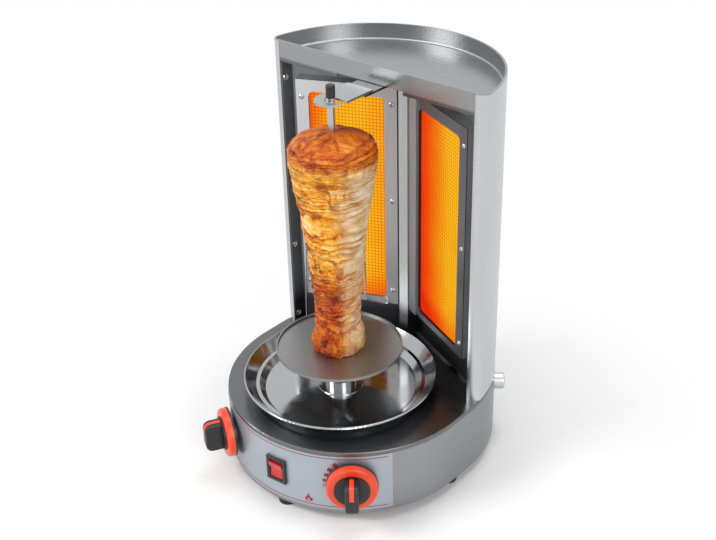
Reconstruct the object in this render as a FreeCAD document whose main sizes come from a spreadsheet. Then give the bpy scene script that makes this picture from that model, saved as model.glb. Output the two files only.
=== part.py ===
"""Vertical kebab grill: gas-fired, two upright burners, motor-driven spit.

Lengths are in millimetres and angles in degrees. +Z is up, -Y is the front with the
controls, and +X is the right-hand side. The object stands on z = 0. Sizes in plan are
written from the spit axis, and every sub-part's Placement then moves it by AXIS_Y, so
that the origin lies under the middle of the whole object.
"""
import FreeCAD, Part
import math
import os
import re
import Sketcher

SIZES = (
    # casing
    ("steel", 1.2, "sheet of the casing"),
    ("drum_radius", 145.0, "half width of base, shell and tray"),
    ("front_arc_y", 21.7, "centre of the front half round"),
    ("rear_arc_y", 55.8, "centre of the rear half round"),
    ("foot_height", 12.0, "feet under the base"),
    ("base_height", 82.0, "base, without its feet"),
    ("total_height", 460.2, "floor to the rim of the tray"),
    ("skirt", 3.4, "turned-down edge of the deck"),
    ("deck_round", 1.0, "rounding of the deck's edge"),
    ("base_rim", 8.0, "turned-up edge of the bottom plate"),
    ("snug", 0.05, "gap of parts that are fixed in each other"),
    ("running", 0.06, "radial gap of parts that turn or slide in each other"),
    ("seam", 0.2, "gap of sheets that are nested"),
    ("tool_reach", 45.0, "how far the drum's cutting tools reach inside its surface"),
    ("tool_over", 1.0, "how far a cutting tool stands out over what it cuts"),
    ("vent_length", 34.0, "slots of the bottom plate"),
    ("vent_width", 5.0, "slots of the bottom plate"),
    ("vent_pitch", 14.0, "slots of the bottom plate"),
    ("vent_apart", 20.0, "slots, from the bottom plate's middle"),
    # feet
    ("turn", 5.2, "controls and feet are turned from the front by this"),
    ("foot_inset", 15.0, "feet, inside the drum's surface"),
    ("foot_radius", 12.0, "foot at its top"),
    ("foot_taper", 1.5, "foot is thinner at the floor by this"),
    ("screw_radius", 2.0, "foot, motor and wall screws"),
    ("head_radius", 4.0, "their heads"),
    ("head_thick", 2.0, "their heads"),
    ("foot_recess", 5.0, "depth for the head in the foot"),
    ("recess_gap", 1.0, "round the screw's head in its recess"),
    # control panel, knobs, valves
    ("panel_sheet", 0.6, "front panel"),
    ("panel_half", 52.0, "front panel, half its angle"),
    ("panel_low", 16.6, "front panel's lower edge"),
    ("panel_high", 89.2, "front panel's upper edge"),
    ("knob_spread", 34.6, "knobs, from the switch"),
    ("knob_z", 55.0, "height of the knobs"),
    ("knob_gap", 4.5, "knob's back, from the drum"),
    ("knob_flange", 28.5, "knob's largest radius"),
    ("knob_flange_thick", 2.0, "black base of the knob"),
    ("knob_core", 19.5, "black core of the knob"),
    ("knob_core_wall", 2.0, "wall of the core round the bezel"),
    ("knob_recess", 6.5, "depth of the core's recess"),
    ("knob_core_high", 12.0, "core, from the knob's back"),
    ("knob_reach", 31.5, "grip's tip, from the knob's back"),
    ("grip_wide", 14.5, "grip bar"),
    ("grip_long", 35.0, "grip bar"),
    ("grip_corner", 8.0, "grip bar's ends"),
    ("grip_round", 2.0, "grip bar's edges"),
    ("ring_radius", 28.0, "red ring"),
    ("ring_thick", 8.0, "red ring"),
    ("ring_bevel", 2.0, "red ring"),
    ("bezel_radius", 15.5, "black ring on the drum"),
    ("bezel_high", 3.4, "black ring on the drum"),
    ("bezel_hole", 9.0, "black ring on the drum"),
    ("bezel_set", 3.0, "black ring, behind the drum's surface"),
    ("bezel_lip", 2.0, "black ring, narrower than the drum's hole"),
    ("spindle_radius", 3.0, "valve spindle"),
    ("spindle_long", 49.0, "valve spindle"),
    ("plug_radius", 6.0, "valve plug"),
    ("plug_long", 25.0, "valve plug"),
    ("plug_floor", 2.0, "valve plug"),
    ("plug_set", 6.0, "valve plug, from the valve's inner end"),
    ("valve_block", 20.0, "valve body, width and height"),
    ("valve_long", 36.0, "valve body without its neck"),
    ("valve_neck", 8.0, "valve neck radius"),
    ("valve_neck_long", 9.4, "valve neck"),
    ("valve_gap", 0.3, "valve's neck, from the drum's inside"),
    # switch
    ("switch_z", 54.0, "height of the switch"),
    ("switch_wide", 25.4, "bezel of the switch"),
    ("switch_high", 31.2, "bezel of the switch"),
    ("switch_proud", 2.6, "bezel, from the drum"),
    ("switch_body_wide", 22.0, "switch body"),
    ("switch_body_high", 28.0, "switch body"),
    ("switch_deep", 20.0, "switch body behind the drum's surface"),
    ("switch_set", 3.0, "bezel of the switch, behind the drum's surface"),
    ("blade_wide", 6.2, "blades behind the switch"),
    ("blade_long", 8.0, "blades behind the switch"),
    ("blade_pitch", 8.0, "blades behind the switch"),
    ("blade_sheet", 0.8, "blades behind the switch"),
    ("rocker_wide", 17.0, "rocker"),
    ("rocker_high", 21.6, "rocker"),
    ("rocker_rise", 7.6, "rocker's ends, from its axis"),
    ("rocker_dip", 6.0, "rocker's middle, from its axis"),
    ("rocker_tilt", 8.0, "rocker, each way from level"),
    ("rocker_set", 4.0, "rocker's axis behind the drum's surface"),
    ("rocker_gap", 0.4, "rocker, to the switch's sides"),
    ("rocker_gap_end", 1.4, "rocker, to the switch's ends"),
    ("rocker_room", 9.0, "room behind the rocker's axis"),
    ("rocker_keel", 3.0, "rocker's back, from its axis"),
    ("rocker_keel_in", 2.0, "rocker's back, shorter at each end"),
    # gas and power
    ("gas_inlet_angle", 127.6, "inlet round the rear arc"),
    ("gas_z", 69.0, "height of inlet and manifold"),
    ("gas_stub", 10.0, "inlet's radius"),
    ("gas_stub_out", 12.0, "inlet outside the drum"),
    ("gas_stub_round", 2.5, "inlet's rounded end"),
    ("gas_bore", 3.5, "inlet's bore"),
    ("inlet_nut", 13.0, "inlet's collar inside"),
    ("inlet_neck", 9.3, "inlet in the drum's wall"),
    ("inlet_tail", 18.0, "inlet's tail inside the drum"),
    ("inlet_nut_thick", 5.0, "inlet's collar, from the drum's inside"),
    ("inlet_nut_gap", 0.8, "inlet's collar, gap to the drum"),
    ("inlet_tail_step", 3.0, "inlet's tail, thinner than its collar"),
    ("gas_bore_deep", 10.0, "inlet's bore, inside the drum's surface"),
    ("manifold_inset", 39.0, "manifold, inside the drum's surface"),
    ("manifold_back", 78.0, "manifold's end, behind the rear arc's centre"),
    ("manifold_past", 5.0, "manifold, past the left valve, in degrees"),
    ("manifold_radius", 4.0, "manifold pipe"),
    ("pipe_radius", 3.0, "burner pipes"),
    ("pipe_bend", 14.0, "burner pipes"),
    ("pipe_lead", 16.0, "burner pipes, straight at the valve"),
    ("pipe_rise", 28.8, "gas pipe's elbow behind the end of its straight lead"),
    ("gland_angle", -150.0, "cord gland round the rear arc"),
    ("gland_z", 46.0, "height of the cord gland"),
    ("gland_hole", 3.5, "cord gland's bore"),
    ("gland_radius", 8.0, "cord gland"),
    ("gland_out", 11.0, "cord gland outside the drum"),
    ("gland_nut", 3.0, "gland's nut, wider than the gland"),
    ("gland_nut_thick", 5.0, "gland's nut, from the drum's inside"),
    ("gland_nut_gap", 0.6, "gland's nut, gap to the drum"),
    ("gland_head", 2.5, "gland's head, wider than the gland"),
    ("gland_head_gap", 0.4, "gland's head, gap to the drum"),
    ("gland_taper", 5.0, "gland's tapered end"),
    ("gland_tip", 1.0, "gland's tip, thinner than the gland"),
    ("terminal_x", -84.0, "terminal block's left end"),
    ("terminal_y", 120.0, "terminal block's front"),
    ("terminal_long", 40.0, "terminal block"),
    ("terminal_wide", 18.0, "terminal block"),
    ("terminal_base", 9.0, "terminal block's foot"),
    ("terminal_edge", 2.0, "terminal block's foot round its posts"),
    ("terminal_post", 10.0, "each post of the terminal block"),
    ("terminal_post_high", 8.0, "each post of the terminal block"),
    ("terminal_pitch", 13.0, "posts of the terminal block"),
    # deck, bowl, drive
    ("bowl_sheet", 1.0, "drip bowl"),
    ("bowl_rim", 110.4, "drip bowl's rim radius"),
    ("bowl_high", 19.3, "drip bowl"),
    ("bowl_floor", 87.0, "drip bowl's floor radius"),
    ("bowl_step", 98.0, "drip bowl, radius of the step"),
    ("bowl_step_high", 7.0, "drip bowl, height of the step"),
    ("step_wide", 4.0, "drip bowl, width of the step"),
    ("bowl_bead", 1.6, "drip bowl's rolled rim"),
    ("bowl_hole", 21.0, "drip bowl's middle hole"),
    ("collar_radius", 17.5, "collar in the drip bowl's hole"),
    ("collar_flange", 26.0, "collar's flange on the bowl's floor"),
    ("collar_high", 12.0, "collar in the drip bowl's hole"),
    ("shaft_radius", 4.0, "motor shaft"),
    ("bush_radius", 9.0, "deck bush"),
    ("bush_flange", 13.0, "deck bush"),
    ("bush_thick", 2.0, "deck bush's flange"),
    ("bush_tail", 2.0, "deck bush, under the deck"),
    ("socket_radius", 11.0, "drive socket"),
    ("socket_long", 28.7, "drive socket"),
    ("socket_gap", 0.3, "under the drive socket"),
    ("shaft_in", 11.0, "motor shaft in the socket"),
    ("shaft_clear", 0.1, "over the motor shaft's end"),
    ("socket_deep", 15.0, "square hole of the socket"),
    ("square", 6.2, "square end of the spit"),
    ("square_gap", 0.15, "square end in its hole, each side"),
    ("motor_radius", 30.0, "motor"),
    ("motor_high", 26.0, "motor"),
    ("gear_radius", 27.0, "gearbox"),
    ("gear_high", 24.0, "gearbox"),
    ("motor_chamfer", 1.5, "motor's lower edge"),
    ("shaft_root", 6.0, "shaft's root in the gearbox, from its foot"),
    ("motor_hole", 8.0, "screw holes of the gearbox"),
    ("motor_screw_in", 7.0, "motor screws in the gearbox"),
    ("bracket_drop", 17.3, "motor bracket, under the deck"),
    ("bracket_half", 50.0, "motor bracket"),
    ("bracket_foot", 12.0, "motor bracket"),
    ("bracket_wide", 50.0, "motor bracket"),
    ("bracket_sheet", 1.5, "motor bracket"),
    ("motor_screw_x", 20.0, "motor screws"),
    # spit
    ("rod_radius", 3.5, "spit rod"),
    ("hub_radius", 12.0, "spit hub"),
    ("hub_gap", 1.0, "hub over the socket"),
    ("rod_end_gap", 0.5, "square end, under the hub"),
    ("hub_flange", 22.0, "spit hub's flange"),
    ("hub_flange_thick", 3.0, "spit hub's flange"),
    ("disc_z", 145.3, "underside of the spit disc"),
    ("disc_radius", 71.6, "spit disc"),
    ("disc_sheet", 1.5, "spit disc"),
    ("disc_rim", 4.0, "spit disc's edge"),
    ("disc_chamfer", 0.6, "spit disc's lower edge"),
    ("thumb_angle", 75.0, "thumb screw, from the front"),
    ("thumb_head", 4.2, "thumb screw"),
    ("thumb_reach", 24.0, "thumb screw's tip, from the axis"),
    ("thumb_radius", 2.5, "thumb screw"),
    ("thumb_drop", 7.0, "thumb screw, under the flange"),
    ("thumb_stand", 0.5, "thumb screw's head, from the hub"),
    ("thumb_chamfer", 1.0, "thumb screw's tip"),
    ("grip_gap", 0.4, "grip's collar, over the arm's nose"),
    ("spit_collar_high", 2.0, "bright collar"),
    ("spit_collar_radius", 6.2, "bright collar"),
    ("spit_grip_radius", 4.9, "black grip"),
    ("spit_grip_high", 13.4, "black grip"),
    ("spit_grip_wall", 4.0, "black grip over the rod"),
    ("spit_grip_round", 2.0, "black grip's end"),
    # meat
    ("meat_foot", 31.0, "radius at the foot"),
    ("meat_waist", 25.2, "least radius"),
    ("meat_waist_high", 49.0, "waist, over the disc"),
    ("meat_shoulder", 48.0, "largest radius"),
    ("meat_shoulder_drop", 30.0, "shoulder, under the top"),
    ("meat_clear", 34.3, "meat's top, under the grip's collar"),
    ("meat_slice", 13.0, "slices of the meat"),
    ("meat_groove", 1.6, "between slices"),
    ("meat_crown", 8.0, "top slice, under the top"),
    # shell and tray
    ("flange_y", 63.5, "front plane of shell and tray"),
    ("flange_wide", 13.0, "shell's front strip"),
    ("corner_radius", 10.0, "front corners of the shell"),
    ("lip", 12.0, "shell's turned-in edge"),
    ("lip_screw", 5.0, "screws of the lip, behind the shell's front strip"),
    ("tray_sheet", 1.0, "tray"),
    ("tray_deep", 18.2, "tray"),
    ("apron", 23.7, "front plate of the tray"),
    ("notch_left", 47.0, "gap for the arm"),
    ("notch_right", 42.0, "gap for the arm"),
    ("rear_slot_long", 40.0, "rear vents"),
    ("rear_slot_wide", 5.0, "rear vents"),
    ("rear_slot_pitch", 18.0, "rear vents"),
    ("rear_slot_apart", 8.0, "rear vents of a row"),
    ("rear_slot_low", 150.0, "lowest rear vent"),
    # heat wall, post, burners
    ("vee_angle", 24.0, "burners, each turned in by this"),
    ("vee_y", 124.4, "where the burner fronts would meet"),
    ("burner_proud", 14.0, "burner fronts before the wall"),
    ("window_tool", 8.0, "cutting tool of the wall's windows, each way"),
    ("wall_low", 98.0, "lower edge of the wall"),
    ("wall_drop", 1.5, "upper edge of the wall, under the tray's apron"),
    ("post_wide", 12.4, "post"),
    ("post_y", 116.5, "front of the post"),
    ("burner_near", 11.9, "burner's edge at the post"),
    ("burner_far", 129.0, "burner's outer edge"),
    ("burner_low", 139.0, "burner's lower edge"),
    ("burner_high", 416.0, "burner's upper edge"),
    ("burner_deep", 34.0, "burner box"),
    ("burner_shift", 2.9, "plates, under the middle of their box"),
    ("plate_wide", 92.0, "ceramic plate"),
    ("plate_high", 132.0, "ceramic plate"),
    ("plate_thick", 13.0, "ceramic plate"),
    ("plate_set", 3.5, "ceramic plates behind the frame's front"),
    ("plate_overlap", 2.0, "frame over the plates' sides"),
    ("plate_overlap_end", 4.0, "frame over the plates' ends"),
    ("window_round", 6.5, "corners of the frame's opening"),
    ("ledge", 4.0, "ledge behind the plates"),
    ("frame_screw_near", 18.2, "frame screws, from the middle line"),
    ("frame_screw_far", 122.7, "frame screws, from the middle line"),
    ("frame_screw_low", 157.5, "lowest frame screws"),
    ("frame_screw_high", 395.5, "highest frame screws"),
    ("frame_head", 2.6, "frame screws"),
    ("frame_shank", 1.4, "frame screws"),
    ("frame_head_thick", 1.5, "frame screws"),
    ("mixer_at", 70.0, "mixer tube, along the burner"),
    ("mixer_set", 25.3, "mixer tube, behind the frame"),
    ("mixer_radius", 7.2, "mixer tube"),
    ("mixer_sheet", 1.0, "mixer tube"),
    ("mixer_low", 74.0, "foot of the mixer tube"),
    ("mixer_in", 11.0, "mixer tube inside the burner"),
    ("mixer_flange", 12.0, "mixer tube on the deck"),
    ("air_port", 12.0, "mixer's air ports"),
    ("port_rise", 3.0, "mixer's air ports, over its foot"),
    ("injector_radius", 6.0, "injector"),
    ("injector_neck", 4.0, "injector"),
    ("injector_high", 25.0, "injector's body"),
    ("injector_tip", 6.0, "injector's neck"),
    # arm
    ("arm_wide", 34.0, "arm"),
    ("arm_sheet", 2.5, "arm"),
    ("arm_gap", 0.6, "arm, under the tray"),
    ("arm_pivot_y", 125.0, "arm's pivot"),
    ("arm_slot", 1.0, "gap round the rod in the nose's slot"),
    ("arm_slot_rear", 1.4, "more gap behind the rod, for the arm's swing"),
    ("arm_front", 34.0, "arm's front end, from the spit"),
    ("nose_rear", 46.0, "nose plate's rear end, from the spit"),
    ("pivot_radius", 4.0, "arm's pivot"),
    ("pivot_head", 9.0, "arm's pivot"),
    ("pivot_head_thick", 1.8, "arm's pivot"),
    ("pivot_gap", 0.3, "arm over the pivot's head"),
    ("pivot_washer", 0.5, "washer over the arm"),
)
WALL_SCREW_HEIGHTS = (("wall_screw_low", 106.0), ("wall_screw_mid", 203.0), ("wall_screw_top", 416.0))
SIDES = (("left", -1), ("right", 1))
REAR_SLOT_ROWS = 12
MEAT_SWELL = 1.25
MEAT_DOME = 2.4

doc = FreeCAD.newDocument("vertical_kebab_grill")
sheet = doc.addObject("Spreadsheet::Sheet", "sizes")
values = {}


def fill_sheet():
    """One row a size: what it is, and its value under an alias."""
    rows = list(SIZES) + [(name, height, "screw of the shell's lip") for name, height in WALL_SCREW_HEIGHTS]
    for row, (name, value, note) in enumerate(rows, start=1):
        sheet.set(f"A{row}", note)
        sheet.set(f"B{row}", str(value))
        sheet.setAlias(f"B{row}", name)
        values[name] = value
    doc.recompute()


fill_sheet()

# Places that follow from the sizes
DECK_TOP = "(foot_height + base_height)"
DECK_UNDER = f"({DECK_TOP} - steel)"
DRUM_INNER = "(drum_radius - steel)"
PANEL_FACE = "(drum_radius + panel_sheet)"
KNOB_BACK = "(drum_radius + knob_gap)"
KNOB_TIP = f"({KNOB_BACK} + knob_reach)"
KNOB_ANGLE = {"left": "(turn - knob_spread)", "right": "(turn + knob_spread)"}
ROCKER_AXIS = "(drum_radius - rocker_set)"
FOOT_CIRCLE = "(drum_radius - foot_inset)"
MANIFOLD_X = "(drum_radius - manifold_inset)"
MANIFOLD_END = "(rear_arc_y + manifold_back)"
FLANGE_INNER = "(drum_radius - flange_wide)"
VALVE_OUT = f"({DRUM_INNER} - valve_neck_long - valve_gap)"
VALVE_IN = f"({VALVE_OUT} - valve_long)"
SHELL_TOP = "(total_height - tray_sheet)"
TRAY_FLOOR = "(total_height - tray_deep)"
TRAY_UNDER = f"({TRAY_FLOOR} - tray_sheet)"
ARM_TOP = f"({TRAY_UNDER} - arm_gap)"
ARM_UNDER = f"({ARM_TOP} - arm_sheet)"
GRIP_Z = f"({ARM_TOP} + arm_sheet + grip_gap)"
WALL_HIGH = "(total_height - apron - wall_drop)"
SOCKET_LOW = f"({DECK_TOP} + bush_thick + socket_gap)"
SOCKET_TOP = f"({SOCKET_LOW} + socket_long)"
SPIT_LOW = f"({SOCKET_TOP} - socket_deep + running)"
HUB_LOW = f"({SOCKET_TOP} + hub_gap)"
THUMB_Z = "(disc_z - hub_flange_thick - thumb_drop)"
MEAT_LOW = "(disc_z + disc_sheet)"
MEAT_TOP = f"({GRIP_Z} - meat_clear)"
BRACKET_LOW = f"({DECK_UNDER} - bracket_drop)"
PLATE_MID = "((burner_near + burner_far) / 2)"
BURNER_MID_Z = "((burner_low + burner_high) / 2 - burner_shift)"
PLATE_BACK = "(plate_set + plate_thick)"
INJECTOR_LOW = "(mixer_low - injector_high)"
TOOL_IN = "(drum_radius - tool_reach)"
TOOL_OUT = f"({PANEL_FACE} + tool_over)"
VEE_TAN = "tan(vee_angle * 1deg)"
WALL_APEX = "(vee_y + burner_proud / cos(vee_angle * 1deg))"
WALL_BACK = "(steel / cos(vee_angle * 1deg))"

# The foremost point is the left knob's grip, the rearmost the shell
FRONT = (
    f"(({KNOB_TIP} - grip_round) * cos({KNOB_ANGLE['left']} * 1deg)"
    f" + (grip_wide / 2 - grip_round) * abs(sin({KNOB_ANGLE['left']} * 1deg)) + grip_round - front_arc_y)"
)
REAR = "(rear_arc_y + drum_radius)"
AXIS_Y = f"(({FRONT} - {REAR}) / 2)"


def bound(text):
    """The expression with every size's alias led by the sheet's name."""
    def led(word):
        return f"sizes.{word[0]}" if word[0] in values else word[0]
    return re.sub(r"[A-Za-z_]\w*", led, str(text))


def number(text):
    """The value that an expression has now."""
    result = sheet.evalExpression(bound(text))
    return float(getattr(result, "Value", result))


# Sketches and features

def new_body(name):
    return doc.addObject("PartDesign::Body", name)


def new_sketch(body, role, away="0"):
    """A sketch on the body's own origin plane, moved along the plane's normal."""
    sketch = body.newObject("Sketcher::SketchObject", f"{body.Name}_sketch")
    plane = [feature for feature in body.Origin.OriginFeatures if feature.Role == role][0]
    sketch.AttachmentSupport = [(plane, "")]
    sketch.MapMode = "FlatFace"
    sketch.setExpression("AttachmentOffset.Base.z", bound(away))
    return sketch


def fix(sketch, kind, item, end, text, value):
    """A distance from the sketch's origin, bound to an expression."""
    index = sketch.addConstraint(Sketcher.Constraint(kind, -1, 1, item, end, value))
    sketch.setExpression(f"Constraints[{index}]", bound(text))


def fix_radius(sketch, item, text, value):
    index = sketch.addConstraint(Sketcher.Constraint("Radius", item, value))
    sketch.setExpression(f"Constraints[{index}]", bound(text))


def add_outline(sketch, corners):
    """A closed outline. A corner is (x, y), or (x, y, centre x, centre y, radius) if an arc leaves it."""
    first = sketch.GeometryCount
    points = [(number(corner[0]), number(corner[1])) for corner in corners]
    ends = []
    for index, corner in enumerate(corners):
        here = points[index]
        there = points[(index + 1) % len(points)]
        if len(corner) == 2:
            start = FreeCAD.Vector(here[0], here[1], 0)
            stop = FreeCAD.Vector(there[0], there[1], 0)
            sketch.addGeometry(Part.LineSegment(start, stop))
            ends.append((1, 2))
            continue
        middle = (number(corner[2]), number(corner[3]))
        begin = math.atan2(here[1] - middle[1], here[0] - middle[0])
        end = math.atan2(there[1] - middle[1], there[0] - middle[0])
        forward = (end - begin) % (2 * math.pi) <= math.pi
        centre = FreeCAD.Vector(middle[0], middle[1], 0)
        circle = Part.Circle(centre, FreeCAD.Vector(0, 0, 1), number(corner[4]))
        sketch.addGeometry(Part.ArcOfCircle(circle, *((begin, end) if forward else (end, begin))))
        ends.append((1, 2) if forward else (2, 1))
    for index, corner in enumerate(corners):
        following = (index + 1) % len(corners)
        pair = (first + index, ends[index][1], first + following, ends[following][0])
        sketch.addConstraint(Sketcher.Constraint("Coincident", *pair))
        fix(sketch, "DistanceX", first + index, ends[index][0], corner[0], points[index][0])
        fix(sketch, "DistanceY", first + index, ends[index][0], corner[1], points[index][1])
        if len(corner) > 2:
            fix_radius(sketch, first + index, corner[4], number(corner[4]))


def add_circle(sketch, x, y, radius):
    centre = FreeCAD.Vector(number(x), number(y), 0)
    item = sketch.addGeometry(Part.Circle(centre, FreeCAD.Vector(0, 0, 1), number(radius)))
    fix(sketch, "DistanceX", item, 3, x, centre.x)
    fix(sketch, "DistanceY", item, 3, y, centre.y)
    fix_radius(sketch, item, radius, number(radius))


def rectangle(x0, x1, y0, y1):
    return [(x0, y0), (x1, y0), (x1, y1), (x0, y1)]


def rounded(x0, x1, y0, y1, radius):
    """A rectangle with rounded corners."""
    left, right = f"({x0} + {radius})", f"({x1} - {radius})"
    low, high = f"({y0} + {radius})", f"({y1} - {radius})"
    return [
        (left, y0), (right, y0, right, low, radius), (x1, low), (x1, high, right, high, radius),
        (right, y1), (left, y1, left, high, radius), (x0, high), (x0, low, left, low, radius),
    ]


def stadium(radius):
    """The plan of the base: half rounds at the front and the rear."""
    front = ("0", "front_arc_y", radius)
    rear = ("0", "rear_arc_y", radius)
    return [
        (f"-{radius}", "front_arc_y", *front), ("0", f"front_arc_y - {radius}", *front),
        (radius, "front_arc_y"), (radius, "rear_arc_y", *rear),
        ("0", f"rear_arc_y + {radius}", *rear), (f"-{radius}", "rear_arc_y"),
    ]


def pad(body, sketch, length, backward=False):
    feature = body.newObject("PartDesign::Pad", f"{body.Name}_pad")
    feature.Profile = sketch
    feature.Reversed = backward
    feature.setExpression("Length", bound(length))
    doc.recompute()
    return feature


def pad_middle(body, sketch, length):
    """A pad that grows to both sides of its sketch."""
    feature = body.newObject("PartDesign::Pad", f"{body.Name}_pad")
    feature.Profile = sketch
    feature.Midplane = True
    feature.setExpression("Length", bound(length))
    doc.recompute()
    return feature


def pocket(body, sketch, depth, backward=False):
    """A pocket, which must take something away."""
    before = body.Shape.Volume
    feature = body.newObject("PartDesign::Pocket", f"{body.Name}_pocket")
    feature.Profile = sketch
    feature.Reversed = backward
    feature.setExpression("Length", bound(depth))
    doc.recompute()
    if not body.Shape.Volume < before - 0.01:
        raise ValueError(f"the pocket in {body.Name} cuts nothing")
    return feature


def round_edges(body, edges, radius):
    base = body.Tip
    feature = body.newObject("PartDesign::Fillet", f"{body.Name}_rounding")
    feature.Base = (base, edges)
    feature.setExpression("Radius", bound(radius))
    doc.recompute()
    return feature


def revolve(body, sketch):
    feature = body.newObject("PartDesign::Revolution", f"{body.Name}_turned")
    feature.Profile = sketch
    feature.ReferenceAxis = (sketch, ["V_Axis"])
    feature.Angle = 360
    doc.recompute()
    return feature


def turned(name, profile):
    """A piece turned about the upright axis; its profile is (radius, height)."""
    body = new_body(name)
    sketch = new_sketch(body, "XZ_Plane")
    add_outline(sketch, profile)
    revolve(body, sketch)
    return body


def turned_outward(name, profile, z):
    """A piece turned about a level axis that points to the front; its profile is (radius, reach)."""
    body = new_body(name)
    sketch = new_sketch(body, "XY_Plane", z)
    add_outline(sketch, [(corner[0], f"-({corner[1]})") for corner in profile])
    revolve(body, sketch)
    return body


# Simple solids and what joins them

def set_place(item, x="0", y="0", z="0", angle=None):
    item.setExpression("Placement.Base.x", bound(x))
    item.setExpression("Placement.Base.y", bound(y))
    item.setExpression("Placement.Base.z", bound(z))
    if angle is not None:
        item.setExpression("Placement.Rotation.Angle", bound(f"({angle}) * 1deg"))
    return item


def cylinder(name, radius, length, x="0", y="0", z="0"):
    item = doc.addObject("Part::Cylinder", name)
    item.setExpression("Radius", bound(radius))
    item.setExpression("Height", bound(length))
    return set_place(item, x, y, z)


def cylinder_outward(name, radius, start, stop, z, x="0"):
    """A level cylinder from one reach to another, towards the front."""
    item = cylinder(name, radius, f"({stop}) - ({start})", x, f"-({start})", z)
    item.Placement.Rotation = FreeCAD.Rotation(FreeCAD.Vector(1, 0, 0), 90)
    return item


def box(name, x0, x1, y0, y1, z0, z1):
    item = doc.addObject("Part::Box", name)
    item.setExpression("Length", bound(f"({x1}) - ({x0})"))
    item.setExpression("Width", bound(f"({y1}) - ({y0})"))
    item.setExpression("Height", bound(f"({z1}) - ({z0})"))
    return set_place(item, x0, y0, z0)


def side_box(name, sign, near, far, y0, y1, z0, z1):
    """A box given by its distances from the middle line, on either side of it."""
    ends = sorted((f"{sign} * ({near})", f"{sign} * ({far})"), key=number)
    return box(name, ends[0], ends[1], y0, y1, z0, z1)


def fuse(name, items):
    item = doc.addObject("Part::MultiFuse", name)
    item.Shapes = items
    return item


def cut(name, base, tool):
    item = doc.addObject("Part::Cut", name)
    item.Base = base
    item.Tool = tool
    return item


def group(name, items):
    item = doc.addObject("Part::Compound", name)
    item.Links = items
    return item


parts = []


def finish(item, label, x="0", y="0", z="0", angle=None):
    """Names a sub-part, puts it in its place and keeps it for the export."""
    item.Label = label
    set_place(item, x, f"{AXIS_Y} + {y}", z, angle)
    parts.append(item)
    return item


def polar(radius, angle, centre_y):
    """A place in plan at an angle from the front towards +X."""
    return f"({radius}) * sin(({angle}) * 1deg)", f"{centre_y} - ({radius}) * cos(({angle}) * 1deg)"


# Base: drum, deck, bottom plate, feet

def switch_tool(name):
    """The cutting tool of the switch's hole."""
    half_wide, half_high = "(switch_body_wide / 2 + seam)", "(switch_body_high / 2 + seam)"
    return box(
        name, f"-{half_wide}", half_wide, f"-{TOOL_OUT}", f"-{TOOL_IN}",
        f"switch_z - {half_high}", f"switch_z + {half_high}",
    )


def make_drum():
    body = new_body("drum_wall")
    skirt_low = f"({DECK_UNDER} - skirt)"
    sketch = new_sketch(body, "XY_Plane", "foot_height")
    add_outline(sketch, stadium("drum_radius"))
    add_outline(sketch, stadium(DRUM_INNER))
    pad(body, sketch, f"{skirt_low} - seam - foot_height")
    joggle = new_sketch(body, "XY_Plane", f"{skirt_low} - 2 * steel")
    add_outline(joggle, stadium(DRUM_INNER))
    add_outline(joggle, stadium(f"({DRUM_INNER} - steel)"))
    pad(body, joggle, f"{DECK_UNDER} - {skirt_low} + 2 * steel")
    turned_tools = []
    for side, angle in KNOB_ANGLE.items():
        hole = cylinder_outward(f"spindle_hole_{side}", "bezel_hole", TOOL_IN, PANEL_FACE, "knob_z")
        turned_tools.append(set_place(group(f"spindle_cut_{side}", [hole]), "0", "front_arc_y", "0", angle))
    switch = switch_tool("switch_hole")
    turned_tools.append(set_place(group("switch_cut", [switch]), "0", "front_arc_y", "0", "turn"))
    inlet = cylinder_outward("inlet_hole", "inlet_neck + snug", TOOL_IN, PANEL_FACE, "gas_z")
    turned_tools.append(set_place(group("inlet_cut", [inlet]), "0", "rear_arc_y", "0", "gas_inlet_angle"))
    gland = cylinder_outward("gland_hole", "gland_radius + seam", TOOL_IN, PANEL_FACE, "gland_z")
    turned_tools.append(set_place(group("gland_cut", [gland]), "0", "rear_arc_y", "0", "gland_angle"))
    finish(cut("base_drum", body, group("drum_tools", turned_tools)), "base_drum")


def mixer_place(side):
    """The mixer tube's place in plan, given in the burner's turned frame."""
    sign = dict(SIDES)[side]
    along, back = "mixer_at", "mixer_set"
    x = f"{sign} * ({along} * cos(vee_angle * 1deg) + {back} * sin(vee_angle * 1deg))"
    y = f"vee_y - {along} * sin(vee_angle * 1deg) + {back} * cos(vee_angle * 1deg)"
    return x, y


def make_deck():
    body = new_body("deck")
    sketch = new_sketch(body, "XY_Plane", DECK_UNDER)
    add_outline(sketch, stadium("drum_radius"))
    pad(body, sketch, "steel")
    edges = [
        f"Edge{index}" for index, edge in enumerate(body.Shape.Edges, start=1)
        if edge.BoundBox.ZMin > number(DECK_TOP) - 0.01
    ]
    round_edges(body, edges, "deck_round")
    skirt = new_sketch(body, "XY_Plane", f"{DECK_UNDER} - skirt")
    add_outline(skirt, stadium("drum_radius"))
    add_outline(skirt, stadium(f"({DRUM_INNER} + seam / 2)"))
    pad(body, skirt, "skirt")
    holes = new_sketch(body, "XY_Plane", DECK_TOP)
    add_circle(holes, "0", "0", "bush_radius + snug")
    for side, _ in SIDES:
        add_circle(holes, *mixer_place(side), "mixer_radius + snug")
    pocket(body, holes, "2 * steel")
    finish(body, "base_deck")


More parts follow.
